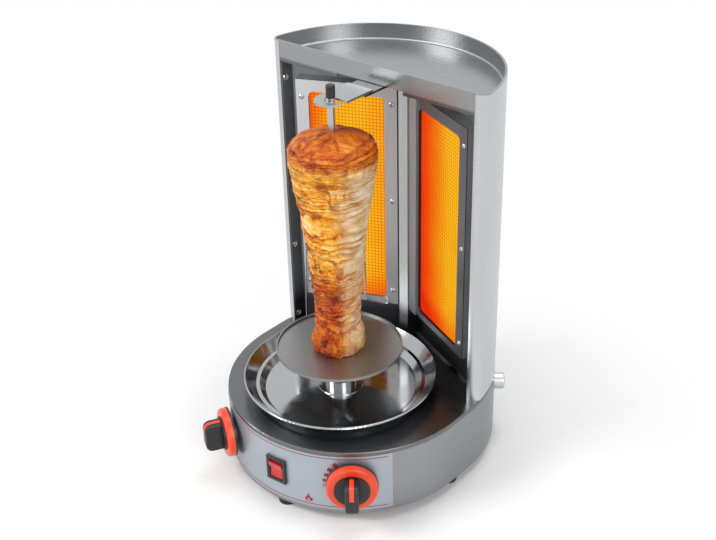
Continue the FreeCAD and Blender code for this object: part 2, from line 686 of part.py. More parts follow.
def make_bottom_plate():
    body = new_body("bottom")
    edge = f"({DRUM_INNER} - snug)"
    sketch = new_sketch(body, "XY_Plane", "foot_height")
    add_outline(sketch, stadium(edge))
    pad(body, sketch, "steel")
    rim = new_sketch(body, "XY_Plane", "foot_height + steel")
    add_outline(rim, stadium(edge))
    add_outline(rim, stadium(f"({edge} - steel)"))
    pad(body, rim, "base_rim - steel")
    holes = new_sketch(body, "XY_Plane", "foot_height + steel")
    for row in range(-2, 3):
        for start in ("-vent_length - vent_apart", "vent_apart"):
            y = f"(front_arc_y + rear_arc_y) / 2 + {row} * vent_pitch"
            slot = (start, f"{start} + vent_length", f"({y} - vent_width / 2)", f"({y} + vent_width / 2)")
            add_outline(holes, rectangle(*slot))
    for x, y in foot_places():
        add_circle(holes, x, y, "screw_radius + snug")
    pocket(body, holes, "2 * steel")
    finish(body, "bottom_plate")


def foot_places():
    """Front, right, rear and left foot."""
    return [
        polar(FOOT_CIRCLE, f"turn + {90 * quarter}", "rear_arc_y" if quarter == 2 else "front_arc_y")
        for quarter in range(4)
    ]


def make_feet():
    feet, screws = [], []
    for index, (x, y) in enumerate(foot_places()):
        foot = doc.addObject("Part::Cone", f"foot_{index}")
        foot.setExpression("Radius1", bound("foot_radius - foot_taper"))
        foot.setExpression("Radius2", bound("foot_radius"))
        foot.setExpression("Height", bound("foot_height"))
        set_place(foot, x, y)
        recess = cylinder(f"foot_recess_{index}", "head_radius + recess_gap", "foot_recess", x, y)
        hole = cylinder(f"foot_hole_{index}", "screw_radius + snug", "foot_height", x, y)
        feet.append(cut(f"foot_cut_{index}", foot, fuse(f"foot_tool_{index}", [recess, hole])))
        head_low = "foot_recess - head_thick"
        head = cylinder(f"foot_head_{index}", "head_radius", "head_thick", x, y, head_low)
        length = "foot_height + 2 * steel - foot_recess"
        shank = cylinder(f"foot_shank_{index}", "screw_radius", length, x, y, "foot_recess")
        screws.append(fuse(f"foot_screw_{index}", [head, shank]))
    finish(group("feet", feet), "rubber_feet")
    finish(group("screws_of_feet", screws), "foot_screws")


def make_panel():
    body = new_body("panel_sheet_body")
    sketch = new_sketch(body, "XY_Plane", "panel_low")
    side, front = "sin(panel_half * 1deg)", "cos(panel_half * 1deg)"
    inner, outer = "drum_radius", PANEL_FACE
    corners = [
        (f"-{inner} * {side}", f"-{inner} * {front}", "0", "0", inner),
        (f"{inner} * {side}", f"-{inner} * {front}"),
        (f"{outer} * {side}", f"-{outer} * {front}", "0", "0", outer),
        (f"-{outer} * {side}", f"-{outer} * {front}"),
    ]
    add_outline(sketch, corners)
    pad(body, sketch, "panel_high - panel_low")
    tools = []
    for name, sign in SIDES:
        hole = cylinder_outward(f"panel_hole_{name}", "bezel_hole", TOOL_IN, TOOL_OUT, "knob_z")
        tools.append(set_place(group(f"panel_cut_{name}", [hole]), angle=f"{sign} * knob_spread"))
    tools.append(switch_tool("panel_switch"))
    panel = cut("panel", body, group("panel_tools", tools))
    finish(panel, "control_panel", "0", "front_arc_y", "0", "turn")


# Controls

def make_knob(side):
    """A knob with its ring, and the valve that its spindle turns."""
    place = ("0", "front_arc_y", "0", KNOB_ANGLE[side])
    recess = "(knob_core - knob_core_wall)"
    bore = "(spindle_radius + snug)"
    deep, base, tip = f"({KNOB_BACK} + knob_recess)", f"({KNOB_BACK} + knob_core_high)", KNOB_TIP
    flange_top = f"({KNOB_BACK} + knob_flange_thick)"
    core = [
        (bore, deep), (recess, deep), (recess, KNOB_BACK), ("knob_flange", KNOB_BACK),
        ("knob_flange", flange_top), ("knob_core", flange_top), ("knob_core", base), (bore, base),
    ]
    body = turned_outward(f"knob_body_{side}", core, "knob_z")
    low, high = "(knob_z - grip_long / 2)", "(knob_z + grip_long / 2)"
    bend = f"-({tip} - grip_corner)"
    sketch = new_sketch(body, "YZ_Plane")
    high_bend, low_bend = f"({high} - grip_corner)", f"({low} + grip_corner)"
    add_outline(sketch, [
        (f"-{base}", low), (f"-{base}", high), (bend, high, bend, high_bend, "grip_corner"),
        (f"-{tip}", high_bend), (f"-{tip}", low_bend, bend, low_bend, "grip_corner"), (bend, low),
    ])
    pad_middle(body, sketch, "grip_wide")
    tip_now, half_now, edges = number(tip), number("grip_wide") / 2, []
    for index, edge in enumerate(body.Shape.Edges, start=1):
        frame = edge.BoundBox
        flat = abs(abs(frame.XMin) - half_now) < 0.01 and frame.XLength < 0.01
        if flat and frame.YMin < -tip_now + 0.01:
            edges.append(f"Edge{index}")
    round_edges(body, edges, "grip_round")
    finish(body, f"knob_{side}", *place)

    ring_top = f"({flange_top} + ring_thick)"
    inner = "(knob_core + snug)"
    ring = [
        (inner, flange_top), ("ring_radius", flange_top), ("ring_radius", f"{ring_top} - ring_bevel"),
        ("ring_radius - ring_bevel", ring_top), (inner, ring_top),
    ]
    finish(turned_outward(f"ring_{side}", ring, "knob_z"), f"knob_ring_{side}", *place)

    stop = f"({base} - snug)"
    start = f"{stop} - spindle_long"
    spindle = cylinder_outward(f"spindle_{side}", "spindle_radius", start, stop, "knob_z")
    finish(group(f"spindle_group_{side}", [spindle]), f"valve_spindle_{side}", *place)

    plug_in = f"({VALVE_IN} + plug_set)"
    plug_out = f"({plug_in} + plug_long)"
    bore_in = f"({plug_in} + plug_floor)"
    plug = [
        ("0", plug_in), ("plug_radius", plug_in), ("plug_radius", plug_out),
        ("spindle_radius + running", plug_out), ("spindle_radius + running", bore_in), ("0", bore_in),
    ]
    finish(turned_outward(f"plug_{side}", plug, "knob_z"), f"valve_plug_{side}", *place)

    half = "valve_block / 2"
    block = box(
        f"valve_block_{side}", f"-{half}", half, f"-{VALVE_OUT}", f"-{VALVE_IN}",
        f"knob_z - {half}", f"knob_z + {half}",
    )
    neck_end = f"{VALVE_OUT} + valve_neck_long"
    neck = cylinder_outward(f"valve_neck_{side}", "valve_neck", VALVE_OUT, neck_end, "knob_z")
    room = ("plug_radius + running", f"{plug_in} - running", f"{plug_out} + running")
    bore = cylinder_outward(f"valve_bore_{side}", *room, "knob_z")
    wide = "spindle_radius + 2 * running"
    way = cylinder_outward(f"valve_way_{side}", wide, plug_out, TOOL_OUT, "knob_z")
    solid = fuse(f"valve_solid_{side}", [block, neck])
    tool = fuse(f"valve_tool_{side}", [bore, way])
    finish(cut(f"valve_{side}", solid, tool), f"gas_valve_{side}", *place)


def make_bezels():
    rings = []
    top = f"({PANEL_FACE} + bezel_high)"
    for side, angle in KNOB_ANGLE.items():
        back = "drum_radius - bezel_set"
        bezel = cylinder_outward(f"bezel_{side}", "bezel_radius", back, top, "knob_z")
        bore = "bezel_hole - bezel_lip"
        hole = cylinder_outward(f"bezel_way_{side}", bore, TOOL_IN, f"{top} + tool_over", "knob_z")
        drum = cylinder(f"bezel_drum_{side}", f"{PANEL_FACE} + snug", "total_height")
        ring = cut(f"bezel_cut_{side}", bezel, fuse(f"bezel_tool_{side}", [hole, drum]))
        rings.append(set_place(group(f"bezel_turn_{side}", [ring]), "0", "front_arc_y", "0", angle))
    finish(group("bezels", rings), "knob_bezels")


def make_switch():
    """A rocker in its frame, with the blades of its wires behind."""
    place = ("0", "front_arc_y", "0", "turn")
    face, back = f"({PANEL_FACE} + switch_proud)", "(drum_radius - switch_deep)"
    plate = box(
        "switch_plate", "-switch_wide / 2", "switch_wide / 2", f"-{face}", "-(drum_radius - switch_set)",
        "switch_z - switch_high / 2", "switch_z + switch_high / 2",
    )
    drum = cylinder("switch_drum", f"{PANEL_FACE} + snug", "total_height")
    housing = box(
        "switch_housing", "-switch_body_wide / 2", "switch_body_wide / 2", f"-{face}", f"-{back}",
        "switch_z - switch_body_high / 2", "switch_z + switch_body_high / 2",
    )
    side, end = "(rocker_wide / 2 + rocker_gap)", "(rocker_high / 2 + rocker_gap_end)"
    room = box(
        "switch_room", f"-{side}", side, f"-{face} - tool_over", f"-({ROCKER_AXIS} - rocker_room)",
        f"switch_z - {end}", f"switch_z + {end}",
    )
    blades = []
    for row in (-1, 0, 1):
        middle = f"switch_z + {row} * blade_pitch"
        blades.append(box(
            f"switch_blade_{row}", "-blade_wide / 2", "blade_wide / 2",
            f"-{back}", f"-({back} - blade_long)",
            f"{middle} - blade_sheet / 2", f"{middle} + blade_sheet / 2",
        ))
    solid = fuse("switch_solid", [cut("switch_rim", plate, drum), housing] + blades)
    finish(cut("switch_hollow", solid, room), "switch_body", *place)

    def tilted(out, up):
        """A point of the rocker's profile, from its axis, tilted to the off position."""
        lean = "(rocker_tilt * 1deg)"
        reach = f"{ROCKER_AXIS} + ({out}) * cos{lean} + ({up}) * sin{lean}"
        height = f"switch_z - ({out}) * sin{lean} + ({up}) * cos{lean}"
        return f"-({reach})", height

    half = "(rocker_high / 2)"
    keel = f"({half} - rocker_keel_in)"
    profile = [
        tilted("-rocker_keel", f"-{keel}"), tilted("-rocker_keel", keel), tilted("rocker_rise", half),
        tilted("rocker_dip", "0"), tilted("rocker_rise", f"-{half}"),
    ]
    rocker = new_body("rocker")
    sketch = new_sketch(rocker, "YZ_Plane")
    add_outline(sketch, profile)
    pad_middle(rocker, sketch, "rocker_wide")
    finish(rocker, "switch_rocker", *place)


# Gas and power inside the base

def make_gas_inlet():
    tip = "(drum_radius + gas_stub_out)"
    tail_end, nut_in = f"({DRUM_INNER} - inlet_tail)", f"({DRUM_INNER} - inlet_nut_thick)"
    nut_out, skin = f"({DRUM_INNER} - inlet_nut_gap)", "(drum_radius + seam)"
    tail, bore_end = "(inlet_nut - inlet_tail_step)", "(drum_radius - gas_bore_deep)"
    bend, slim = f"({tip} - gas_stub_round)", "(gas_stub - gas_stub_round)"
    stub = [
        ("0", tail_end), (tail, tail_end), (tail, nut_in), ("inlet_nut", nut_in), ("inlet_nut", nut_out),
        ("inlet_neck", nut_out), ("inlet_neck", skin), ("gas_stub", skin),
        ("gas_stub", bend, slim, f"-{bend}", "gas_stub_round"),
        (slim, tip), ("gas_bore", tip), ("gas_bore", bore_end), ("0", bore_end),
    ]
    body = new_body("inlet")
    sketch = new_sketch(body, "XY_Plane", "gas_z")
    add_outline(sketch, [(corner[0], f"-({corner[1]})", *corner[2:]) for corner in stub])
    revolve(body, sketch)
    stood = set_place(group("inlet_turned", [body]), "0", "rear_arc_y", "0", "gas_inlet_angle")
    wide = "manifold_radius + snug"
    way = cylinder_outward("inlet_way", wide, f"-({MANIFOLD_END})", "0", "gas_z", MANIFOLD_X)
    finish(cut("inlet_cut_way", stood, way), "gas_inlet")


def swept(name, path, radius):
    """A round bar along a path that starts square to its first edge."""
    first = path.Edges[0]
    start = path.OrderedVertexes[0].Point
    direction = first.tangentAt(first.FirstParameter)
    circle = Part.Wire(Part.Circle(start, direction, radius).toShape())
    shell = Part.BRepOffsetAPI.MakePipeShell(path)
    shell.add(circle)
    shell.build()
    shell.makeSolid()
    item = doc.addObject("Part::Feature", name)
    item.Shape = shell.shape()
    return item


def bent_path(points, radius):
    """Straight runs joined by tangent arcs of one radius."""
    edges = []
    start = points[0]
    for before, corner, after in zip(points, points[1:], points[2:]):
        inward = (before - corner).normalize()
        outward = (after - corner).normalize()
        half = inward.getAngle(outward) / 2
        reach = radius / math.tan(half)
        middle = corner + (inward + outward).normalize() * (radius / math.sin(half) - radius)
        edges.append(Part.LineSegment(start, corner + inward * reach).toShape())
        edges.append(Part.Arc(corner + inward * reach, middle, corner + outward * reach).toShape())
        start = corner + outward * reach
    edges.append(Part.LineSegment(start, points[-1]).toShape())
    return Part.Wire(edges)


def make_manifold():
    x, front, z = number(MANIFOLD_X), number("front_arc_y"), number("gas_z")
    end = math.radians(number(f"{KNOB_ANGLE['left']} - manifold_past"))
    middle = (math.pi / 2 + end) / 2

    def on_arc(angle):
        return FreeCAD.Vector(x * math.sin(angle), front - x * math.cos(angle), z)

    rear = FreeCAD.Vector(x, number(MANIFOLD_END), z)
    run = Part.LineSegment(rear, FreeCAD.Vector(x, front, z)).toShape()
    bend = Part.Arc(on_arc(math.pi / 2), on_arc(middle), on_arc(end)).toShape()
    finish(swept("manifold", Part.Wire([run, bend]), number("manifold_radius")), "gas_manifold")


def make_pipes():
    """A bent tube from each valve to the injector of its burner."""
    front, z = number("front_arc_y"), number("knob_z")
    pipes = []
    for side, turn in KNOB_ANGLE.items():
        angle = math.radians(number(turn))
        x, y = (number(text) for text in mixer_place(side))
        inward = FreeCAD.Vector(-math.sin(angle), math.cos(angle), 0)
        start = FreeCAD.Vector(0, front, z) - inward * number(VALVE_IN)
        lead = start + inward * number("pipe_lead")
        elbow = FreeCAD.Vector(x, lead.y + number("pipe_rise"), z)
        stop = FreeCAD.Vector(x, y - number("injector_radius") - number("snug"), z)
        path = bent_path([start, lead, elbow, stop], number("pipe_bend"))
        pipes.append(swept(f"pipe_{side}", path, number("pipe_radius")))
    finish(group("pipes", pipes), "gas_pipes")


def make_injectors():
    jets = []
    for side, _ in SIDES:
        x, y = mixer_place(side)
        block = cylinder(f"jet_block_{side}", "injector_radius", "injector_high", x, y, INJECTOR_LOW)
        neck = cylinder(f"jet_neck_{side}", "injector_neck", "injector_tip", x, y, "mixer_low")
        jets.append(fuse(f"jet_{side}", [block, neck]))
    finish(group("jets", jets), "burner_injectors")


def make_gland():
    """A clamped bush for the mains cord in the drum's rear wall."""
    nut, tip = f"({DRUM_INNER} - gland_nut_thick)", "(drum_radius + gland_out)"
    nut_out, skin = f"({DRUM_INNER} - gland_nut_gap)", "(drum_radius + gland_head_gap)"
    wide, head = "(gland_radius + gland_nut)", "(gland_radius + gland_head)"
    profile = [
        ("gland_hole", nut), (wide, nut), (wide, nut_out), ("gland_radius", nut_out),
        ("gland_radius", skin), (head, skin), (head, f"{tip} - gland_taper"),
        ("gland_radius - gland_tip", tip), ("gland_hole", tip),
    ]
    gland = turned_outward("gland", profile, "gland_z")
    finish(gland, "cord_gland", "0", "rear_arc_y", "0", "gland_angle")


def make_terminal_block():
    low, x, y = "(foot_height + steel)", "terminal_x", "terminal_y"
    step = f"({low} + terminal_base)"
    base = box("terminal_base_box", x, f"{x} + terminal_long", y, f"{y} + terminal_wide", low, step)
    solids = [base]
    for row in range(3):
        start = f"{x} + terminal_edge + {row} * terminal_pitch"
        solids.append(box(
            f"terminal_post_{row}", start, f"{start} + terminal_post", f"{y} + terminal_edge",
            f"{y} + terminal_wide - terminal_edge", step, f"{step} + terminal_post_high",
        ))
    finish(fuse("terminals", solids), "terminal_block")


# Drive

def make_motor():
    top = BRACKET_LOW
    middle = f"({top} - gear_high)"
    low = f"({middle} - motor_high)"
    bore, root = "(shaft_radius + running)", f"({middle} + shaft_root)"
    profile = [
        ("0", low), ("motor_radius - motor_chamfer", low), ("motor_radius", f"{low} + motor_chamfer"),
        ("motor_radius", middle), ("gear_radius", middle), ("gear_radius", top), (bore, top), (bore, root),
        ("0", root),
    ]
    body = turned("motor", profile)
    holes = new_sketch(body, "XY_Plane", top)
    for sign in (-1, 1):
        add_circle(holes, f"{sign} * motor_screw_x", "0", "screw_radius + snug")
    pocket(body, holes, "motor_hole")
    finish(body, "gear_motor")

    bracket = new_body("bracket")
    sketch = new_sketch(bracket, "XZ_Plane")
    half, foot, thick = "bracket_half", "(bracket_half + bracket_foot)", "bracket_sheet"
    within, under, over = f"({half} - {thick})", f"({DECK_UNDER} - {thick})", f"({BRACKET_LOW} + {thick})"
    add_outline(sketch, [
        (f"-{half}", BRACKET_LOW), (half, BRACKET_LOW), (half, under), (foot, under), (foot, DECK_UNDER),
        (within, DECK_UNDER), (within, over), (f"-{within}", over), (f"-{within}", DECK_UNDER),
        (f"-{foot}", DECK_UNDER), (f"-{foot}", under), (f"-{half}", under),
    ])
    pad_middle(bracket, sketch, "bracket_wide")
    holes = new_sketch(bracket, "XY_Plane", over)
    add_circle(holes, "0", "0", "bush_radius")
    for sign in (-1, 1):
        add_circle(holes, f"{sign} * motor_screw_x", "0", "screw_radius + snug")
    pocket(bracket, holes, f"2 * {thick}")
    finish(bracket, "motor_bracket")

    screws = []
    for index, sign in enumerate((-1, 1)):
        x = f"{sign} * motor_screw_x"
        head = cylinder(f"motor_head_{index}", "head_radius", "head_thick", x, "0", over)
        length, tip = f"motor_screw_in + {thick}", f"{BRACKET_LOW} - motor_screw_in"
        shank = cylinder(f"motor_shank_{index}", "screw_radius", length, x, "0", tip)
        screws.append(fuse(f"motor_screw_{index}", [head, shank]))
    finish(group("screws_of_motor", screws), "motor_screws")

    tail, flange_top = f"({DECK_UNDER} - bush_tail)", f"({DECK_TOP} + bush_thick)"
    bush = [
        (bore, tail), ("bush_radius", tail), ("bush_radius", DECK_TOP), ("bush_flange", DECK_TOP),
        ("bush_flange", flange_top), (bore, flange_top),
    ]
    finish(turned("bush", bush), "deck_bush")

    foot, length = f"({root} + running)", f"{SOCKET_LOW} + shaft_in - {root} - running"
    shaft = cylinder("shaft", "shaft_radius", length, "0", "0", foot)
    finish(group("shaft_group", [shaft]), "motor_shaft")

    grip, end = "(shaft_radius + snug)", f"({SOCKET_LOW} + shaft_in + shaft_clear)"
    body = turned("socket", [
        (grip, SOCKET_LOW), ("socket_radius", SOCKET_LOW), ("socket_radius", SOCKET_TOP),
        ("0", SOCKET_TOP), ("0", end), (grip, end),
    ])
    hole = new_sketch(body, "XY_Plane", SOCKET_TOP)
    half = "(square / 2 + square_gap)"
    add_outline(hole, rectangle(f"-{half}", half, f"-{half}", half))
    pocket(body, hole, "socket_deep")
    finish(body, "drive_socket")


def make_bowl():
    """Pressed bowl: flat floor, stepped wall and rolled rim, with a collar let into its hole."""
    low, thick = DECK_TOP, "bowl_sheet"
    top = f"({low} + bowl_high - bowl_bead)"
    step = f"({low} + bowl_step_high)"
    bead, inner_step = "(bowl_rim - bowl_bead)", "(bowl_step - step_wide)"
    floor_top, step_top = f"({low} + {thick})", f"({step} + {thick})"
    profile = [
        ("bowl_hole", low), ("bowl_floor", low), (inner_step, step), ("bowl_step", step),
        (bead, f"{top} - bowl_bead", bead, top, "bowl_bead"), ("bowl_rim", top, bead, top, "bowl_bead"),
        (bead, f"{top} + bowl_bead"), (f"{bead} - bowl_bead", top),
        (f"bowl_step - {thick}", step_top), (f"{inner_step} - {thick}", step_top),
        (f"bowl_floor - {thick} / 2", floor_top), ("bowl_hole", floor_top),
    ]
    finish(turned("bowl", profile), "drip_bowl")

    inner, outer = "(collar_radius - bowl_sheet)", "collar_radius"
    flange_top, collar_top = f"({floor_top} + {thick})", f"({low} + collar_high)"
    finish(turned("bowl_collar_ring", [
        (inner, low), (outer, low), (outer, floor_top), ("collar_flange", floor_top),
        ("collar_flange", flange_top), (outer, flange_top), (outer, collar_top), (inner, collar_top),
    ]), "bowl_collar")


# Spit

def make_spit():
    hole = "(rod_radius + snug)"
    collar_top = f"({GRIP_Z} + spit_collar_high)"
    rod_top = f"({collar_top} + spit_grip_high - spit_grip_wall)"
    end_top = f"({HUB_LOW} - rod_end_gap)"
    half = "square / 2"
    square = box("rod_square", f"-{half}", half, f"-{half}", half, SPIT_LOW, end_top)
    length = f"{end_top} - {SPIT_LOW}"
    round_end = cylinder("rod_round_end", "rod_radius", length, "0", "0", SPIT_LOW)
    end = doc.addObject("Part::Common", "rod_end")
    end.Base = round_end
    end.Tool = square
    rod = cylinder("rod_bar", "rod_radius", f"{rod_top} - {end_top}", "0", "0", end_top)
    finish(fuse("rod", [rod, end]), "spit_rod")

    flange_low = "(disc_z - hub_flange_thick)"
    body = turned("hub", [
        (hole, HUB_LOW), ("hub_radius", HUB_LOW), ("hub_radius", flange_low), ("hub_flange", flange_low),
        ("hub_flange", "disc_z"), (hole, "disc_z"),
    ])
    way = cylinder_outward("thumb_way", "thumb_radius + snug", "0", "hub_radius + tool_over", THUMB_Z)
    tool = set_place(group("thumb_way_turned", [way]), angle="thumb_angle")
    finish(cut("hub_cut", body, tool), "spit_hub")

    head = "(hub_radius + thumb_stand)"
    thumb = [
        ("0", hole), ("thumb_radius", hole), ("thumb_radius", head), ("thumb_head", head),
        ("thumb_head", "thumb_reach - thumb_chamfer"), ("thumb_head - thumb_chamfer", "thumb_reach"),
        ("0", "thumb_reach"),
    ]
    finish(turned_outward("thumb", thumb, THUMB_Z), "hub_thumb_screw", "0", "0", "0", "thumb_angle")

    rim_top, floor_top = "(disc_z + disc_rim)", "(disc_z + disc_sheet)"
    within = "(disc_radius - disc_sheet)"
    finish(turned("disc", [
        (hole, "disc_z"), ("disc_radius - disc_chamfer", "disc_z"),
        ("disc_radius", "disc_z + disc_chamfer"),
        ("disc_radius", rim_top), (within, rim_top), (within, floor_top), (hole, floor_top),
    ]), "spit_disc")

    finish(turned("collar", [
        (hole, GRIP_Z), ("spit_collar_radius", GRIP_Z), ("spit_collar_radius", collar_top),
        (hole, collar_top),
    ]), "spit_collar")
    top, seat = f"({collar_top} + spit_grip_high)", f"({rod_top} + snug)"
    slim, bend = "(spit_grip_radius - spit_grip_round)", f"({top} - spit_grip_round)"
    finish(turned("grip", [
        (hole, collar_top), ("spit_grip_radius", collar_top),
        ("spit_grip_radius", bend, slim, bend, "spit_grip_round"),
        (slim, top), ("0", top), ("0", seat), (hole, seat),
    ]), "spit_grip")


def meat_radius(z, low):
    """Flared foot, narrow waist, wide shoulder and a domed top."""
    foot, waist, shoulder = number("meat_foot"), number("meat_waist"), number("meat_shoulder")
    top = number(MEAT_TOP)
    waist_z, shoulder_z = low + number("meat_waist_high"), top - number("meat_shoulder_drop")
    if z < waist_z:
        return waist + (foot - waist) * math.sin(math.pi / 2 * (waist_z - z) / (waist_z - low)) ** 2
    if z < shoulder_z:
        share = (z - waist_z) / (shoulder_z - waist_z)
        return waist + (shoulder - waist) * share ** MEAT_SWELL
    share = (z - shoulder_z) / (top - shoulder_z)
    return shoulder * (1 - share ** MEAT_DOME) ** 0.5


def make_meat():
    """A stack of slices on the rod, each a little proud of the grooves beside it."""
    low, top, pitch = number(MEAT_LOW), number(MEAT_TOP), number("meat_slice")
    bore, groove, crown = number("rod_radius + snug"), number("meat_groove"), number("meat_crown")
    rows = 2 * int((top - low) // pitch) - 1
    outline = [FreeCAD.Vector(bore, 0, low)]
    for row in range(rows):
        z = low + row * (top - crown - low) / (rows - 1)
        depth = groove if row % 2 else 0
        outline.append(FreeCAD.Vector(meat_radius(z, low) - depth, 0, z))
    outline.append(FreeCAD.Vector(meat_radius(top - crown / 3, low), 0, top - crown / 3))
    outline.append(FreeCAD.Vector(bore + crown, 0, top))
    outline.append(FreeCAD.Vector(bore, 0, top))
    outline.append(outline[0])
    face = Part.Face(Part.makePolygon(outline))
    item = doc.addObject("Part::Feature", "meat")
    item.Shape = face.revolve(FreeCAD.Vector(0, 0, 0), FreeCAD.Vector(0, 0, 1), 360)
    finish(item, "meat_stack")


# Shell, tray and arm

CORNER_X = "sqrt((drum_radius - corner_radius)^2 - (flange_y + corner_radius - rear_arc_y)^2)"
CORNER_Y = "(flange_y + corner_radius)"


def tangent_place(radius):
    """Where the corner's round meets the rear half round, at that radius from the rear centre."""
    share = f"({radius} / (drum_radius - corner_radius))"
    return f"{CORNER_X} * {share}", f"(rear_arc_y + ({CORNER_Y} - rear_arc_y) * {share})"


def make_shell():
    body = new_body("shell")
    sketch = new_sketch(body, "XY_Plane", DECK_TOP)
    outer_x, outer_y = tangent_place("drum_radius")
    inner_x, inner_y = tangent_place(DRUM_INNER)
    thin = "(corner_radius - steel)"
    inside = "(flange_y + steel)"
    lip_end = f"({inside} + lip)"
    lip_out = f"({FLANGE_INNER} + steel)"
    rear_out, rear_in = ("0", "rear_arc_y", "drum_radius"), ("0", "rear_arc_y", DRUM_INNER)
    add_outline(sketch, [
        (FLANGE_INNER, "flange_y"), (CORNER_X, "flange_y", CORNER_X, CORNER_Y, "corner_radius"),
        (outer_x, outer_y, *rear_out), ("0", "rear_arc_y + drum_radius", *rear_out),
        (f"-{outer_x}", outer_y, f"-{CORNER_X}", CORNER_Y, "corner_radius"), (f"-{CORNER_X}", "flange_y"),
        (f"-{FLANGE_INNER}", "flange_y"), (f"-{FLANGE_INNER}", lip_end), (f"-{lip_out}", lip_end),
        (f"-{lip_out}", inside), (f"-{CORNER_X}", inside, f"-{CORNER_X}", CORNER_Y, thin),
        (f"-{inner_x}", inner_y, *rear_in), ("0", f"rear_arc_y + {DRUM_INNER}", *rear_in),
        (inner_x, inner_y, CORNER_X, CORNER_Y, thin), (CORNER_X, inside),
        (lip_out, inside), (lip_out, lip_end), (FLANGE_INNER, lip_end),
    ])
    pad(body, sketch, f"{SHELL_TOP} - {DECK_TOP}")
    lips = new_sketch(body, "XY_Plane", SHELL_TOP)
    for start, stop in ((FLANGE_INNER, lip_out), (f"-{lip_out}", f"-{FLANGE_INNER}")):
        add_outline(lips, rectangle(start, stop, inside, f"{lip_end} + tool_over"))
    pocket(body, lips, f"{SHELL_TOP} - {TRAY_UNDER} + seam")
    slots = new_sketch(body, "XZ_Plane", "-(rear_arc_y + drum_radius / 2)")
    for middle in (-1, 0, 1):
        start = f"({middle} * (rear_slot_long + rear_slot_apart) - rear_slot_long / 2)"
        slot = (start, f"{start} + rear_slot_long", "rear_slot_low", "rear_slot_low + rear_slot_wide")
        add_outline(slots, rectangle(*slot))
    row = pocket(body, slots, "drum_radius")
    rows = body.newObject("PartDesign::LinearPattern", "rear_vents")
    rows.Originals = [row]
    rows.Direction = (slots, ["V_Axis"])
    rows.Occurrences = REAR_SLOT_ROWS
    rows.setExpression("Length", bound(f"rear_slot_pitch * {REAR_SLOT_ROWS - 1}"))
    body.Tip = rows
    doc.recompute()
    finish(body, "back_shell")


def tray_outline(inset):
    """Half round with rounded front corners, that far inside the shell's outer faces."""
    rear, corner = f"(drum_radius - {inset})", f"(corner_radius - {inset})"
    front = f"(flange_y + {inset})"
    side_x, side_y = tangent_place(rear)
    return [
        (f"-{CORNER_X}", front), (CORNER_X, front, CORNER_X, CORNER_Y, corner),
        (side_x, side_y, "0", "rear_arc_y", rear),
        ("0", f"rear_arc_y + {rear}", "0", "rear_arc_y", rear),
        (f"-{side_x}", side_y, f"-{CORNER_X}", CORNER_Y, corner),
    ]


def make_tray():
    body = new_body("tray")
    front = "(flange_y + steel + seam)"
    sketch = new_sketch(body, "XY_Plane", TRAY_UNDER)
    add_outline(sketch, tray_outline("(steel + seam)"))
    pad(body, sketch, f"{SHELL_TOP} - {TRAY_UNDER}")
    hem = new_sketch(body, "XY_Plane", SHELL_TOP)
    add_outline(hem, tray_outline("0"))
    pad(body, hem, "tray_sheet")
    plate = new_sketch(body, "XY_Plane", "total_height - apron")
    side = f"({FLANGE_INNER} - seam)"
    add_outline(plate, rectangle(f"-{side}", side, "flange_y", front))
    pad(body, plate, "apron - tray_sheet")
    hollow = new_sketch(body, "XY_Plane", "total_height")
    add_outline(hollow, tray_outline("(steel + seam + tray_sheet)"))
    pocket(body, hollow, "tray_deep")
    notch = new_sketch(body, "XZ_Plane", "-flange_y + tool_over")
    foot = "total_height - apron - tool_over"
    add_outline(notch, rectangle("-notch_left", "notch_right", foot, TRAY_UNDER))
    pocket(body, notch, "3 * tool_over + steel")
    finish(body, "top_tray")


def make_arm():
    """Flat arm on its pivot under the tray, with a slotted nose plate welded on its front end."""
    half, back, front = "(arm_wide / 2)", "arm_pivot_y", "arm_front"
    body = new_body("arm")
    strip = new_sketch(body, "XY_Plane", ARM_UNDER)
    add_outline(strip, [
        (f"-{half}", front), (half, front), (half, back, "0", back, half),
        ("0", f"{back} + {half}", "0", back, half), (f"-{half}", back),
    ])
    pad(body, strip, "arm_sheet")
    ways = new_sketch(body, "XY_Plane", ARM_TOP)
    add_circle(ways, "0", back, "pivot_radius + running")
    pocket(body, ways, "2 * arm_sheet")
    finish(body, "support_arm")

    body = new_body("nose")
    plate = new_sketch(body, "XY_Plane", ARM_TOP)
    side, rear = "(rod_radius + arm_slot)", "(rod_radius + arm_slot + arm_slot_rear)"
    mouth = f"sqrt({half}^2 - {side}^2)"
    add_outline(plate, [
        (f"-{half}", "0", "0", "0", half), ("0", f"-{half}", "0", "0", half),
        (mouth, f"-{side}"), (f"-{side}", f"-{side}"), (f"-{side}", rear), (half, rear),
        (half, "nose_rear"), (f"-{half}", "nose_rear"),
    ])
    pad(body, plate, "arm_sheet")
    finish(body, "arm_nose")

    low = f"({ARM_UNDER} - pivot_gap)"
    foot = f"{low} - pivot_head_thick"
    head = cylinder("pivot_head_disc", "pivot_head", "pivot_head_thick", "0", back, foot)
    shank = cylinder("pivot_shank", "pivot_radius", f"{TRAY_UNDER} - {low}", "0", back, low)
    finish(fuse("pivot", [head, shank]), "arm_rivet")
    ring = cylinder("washer_disc", "pivot_head", "pivot_washer", "0", back, f"{ARM_TOP} + snug")
    hole = cylinder("washer_hole", "pivot_radius + snug", "pivot_washer", "0", back, f"{ARM_TOP} + snug")
    finish(cut("washer", ring, hole), "arm_washer")


# Heat wall, post and burners

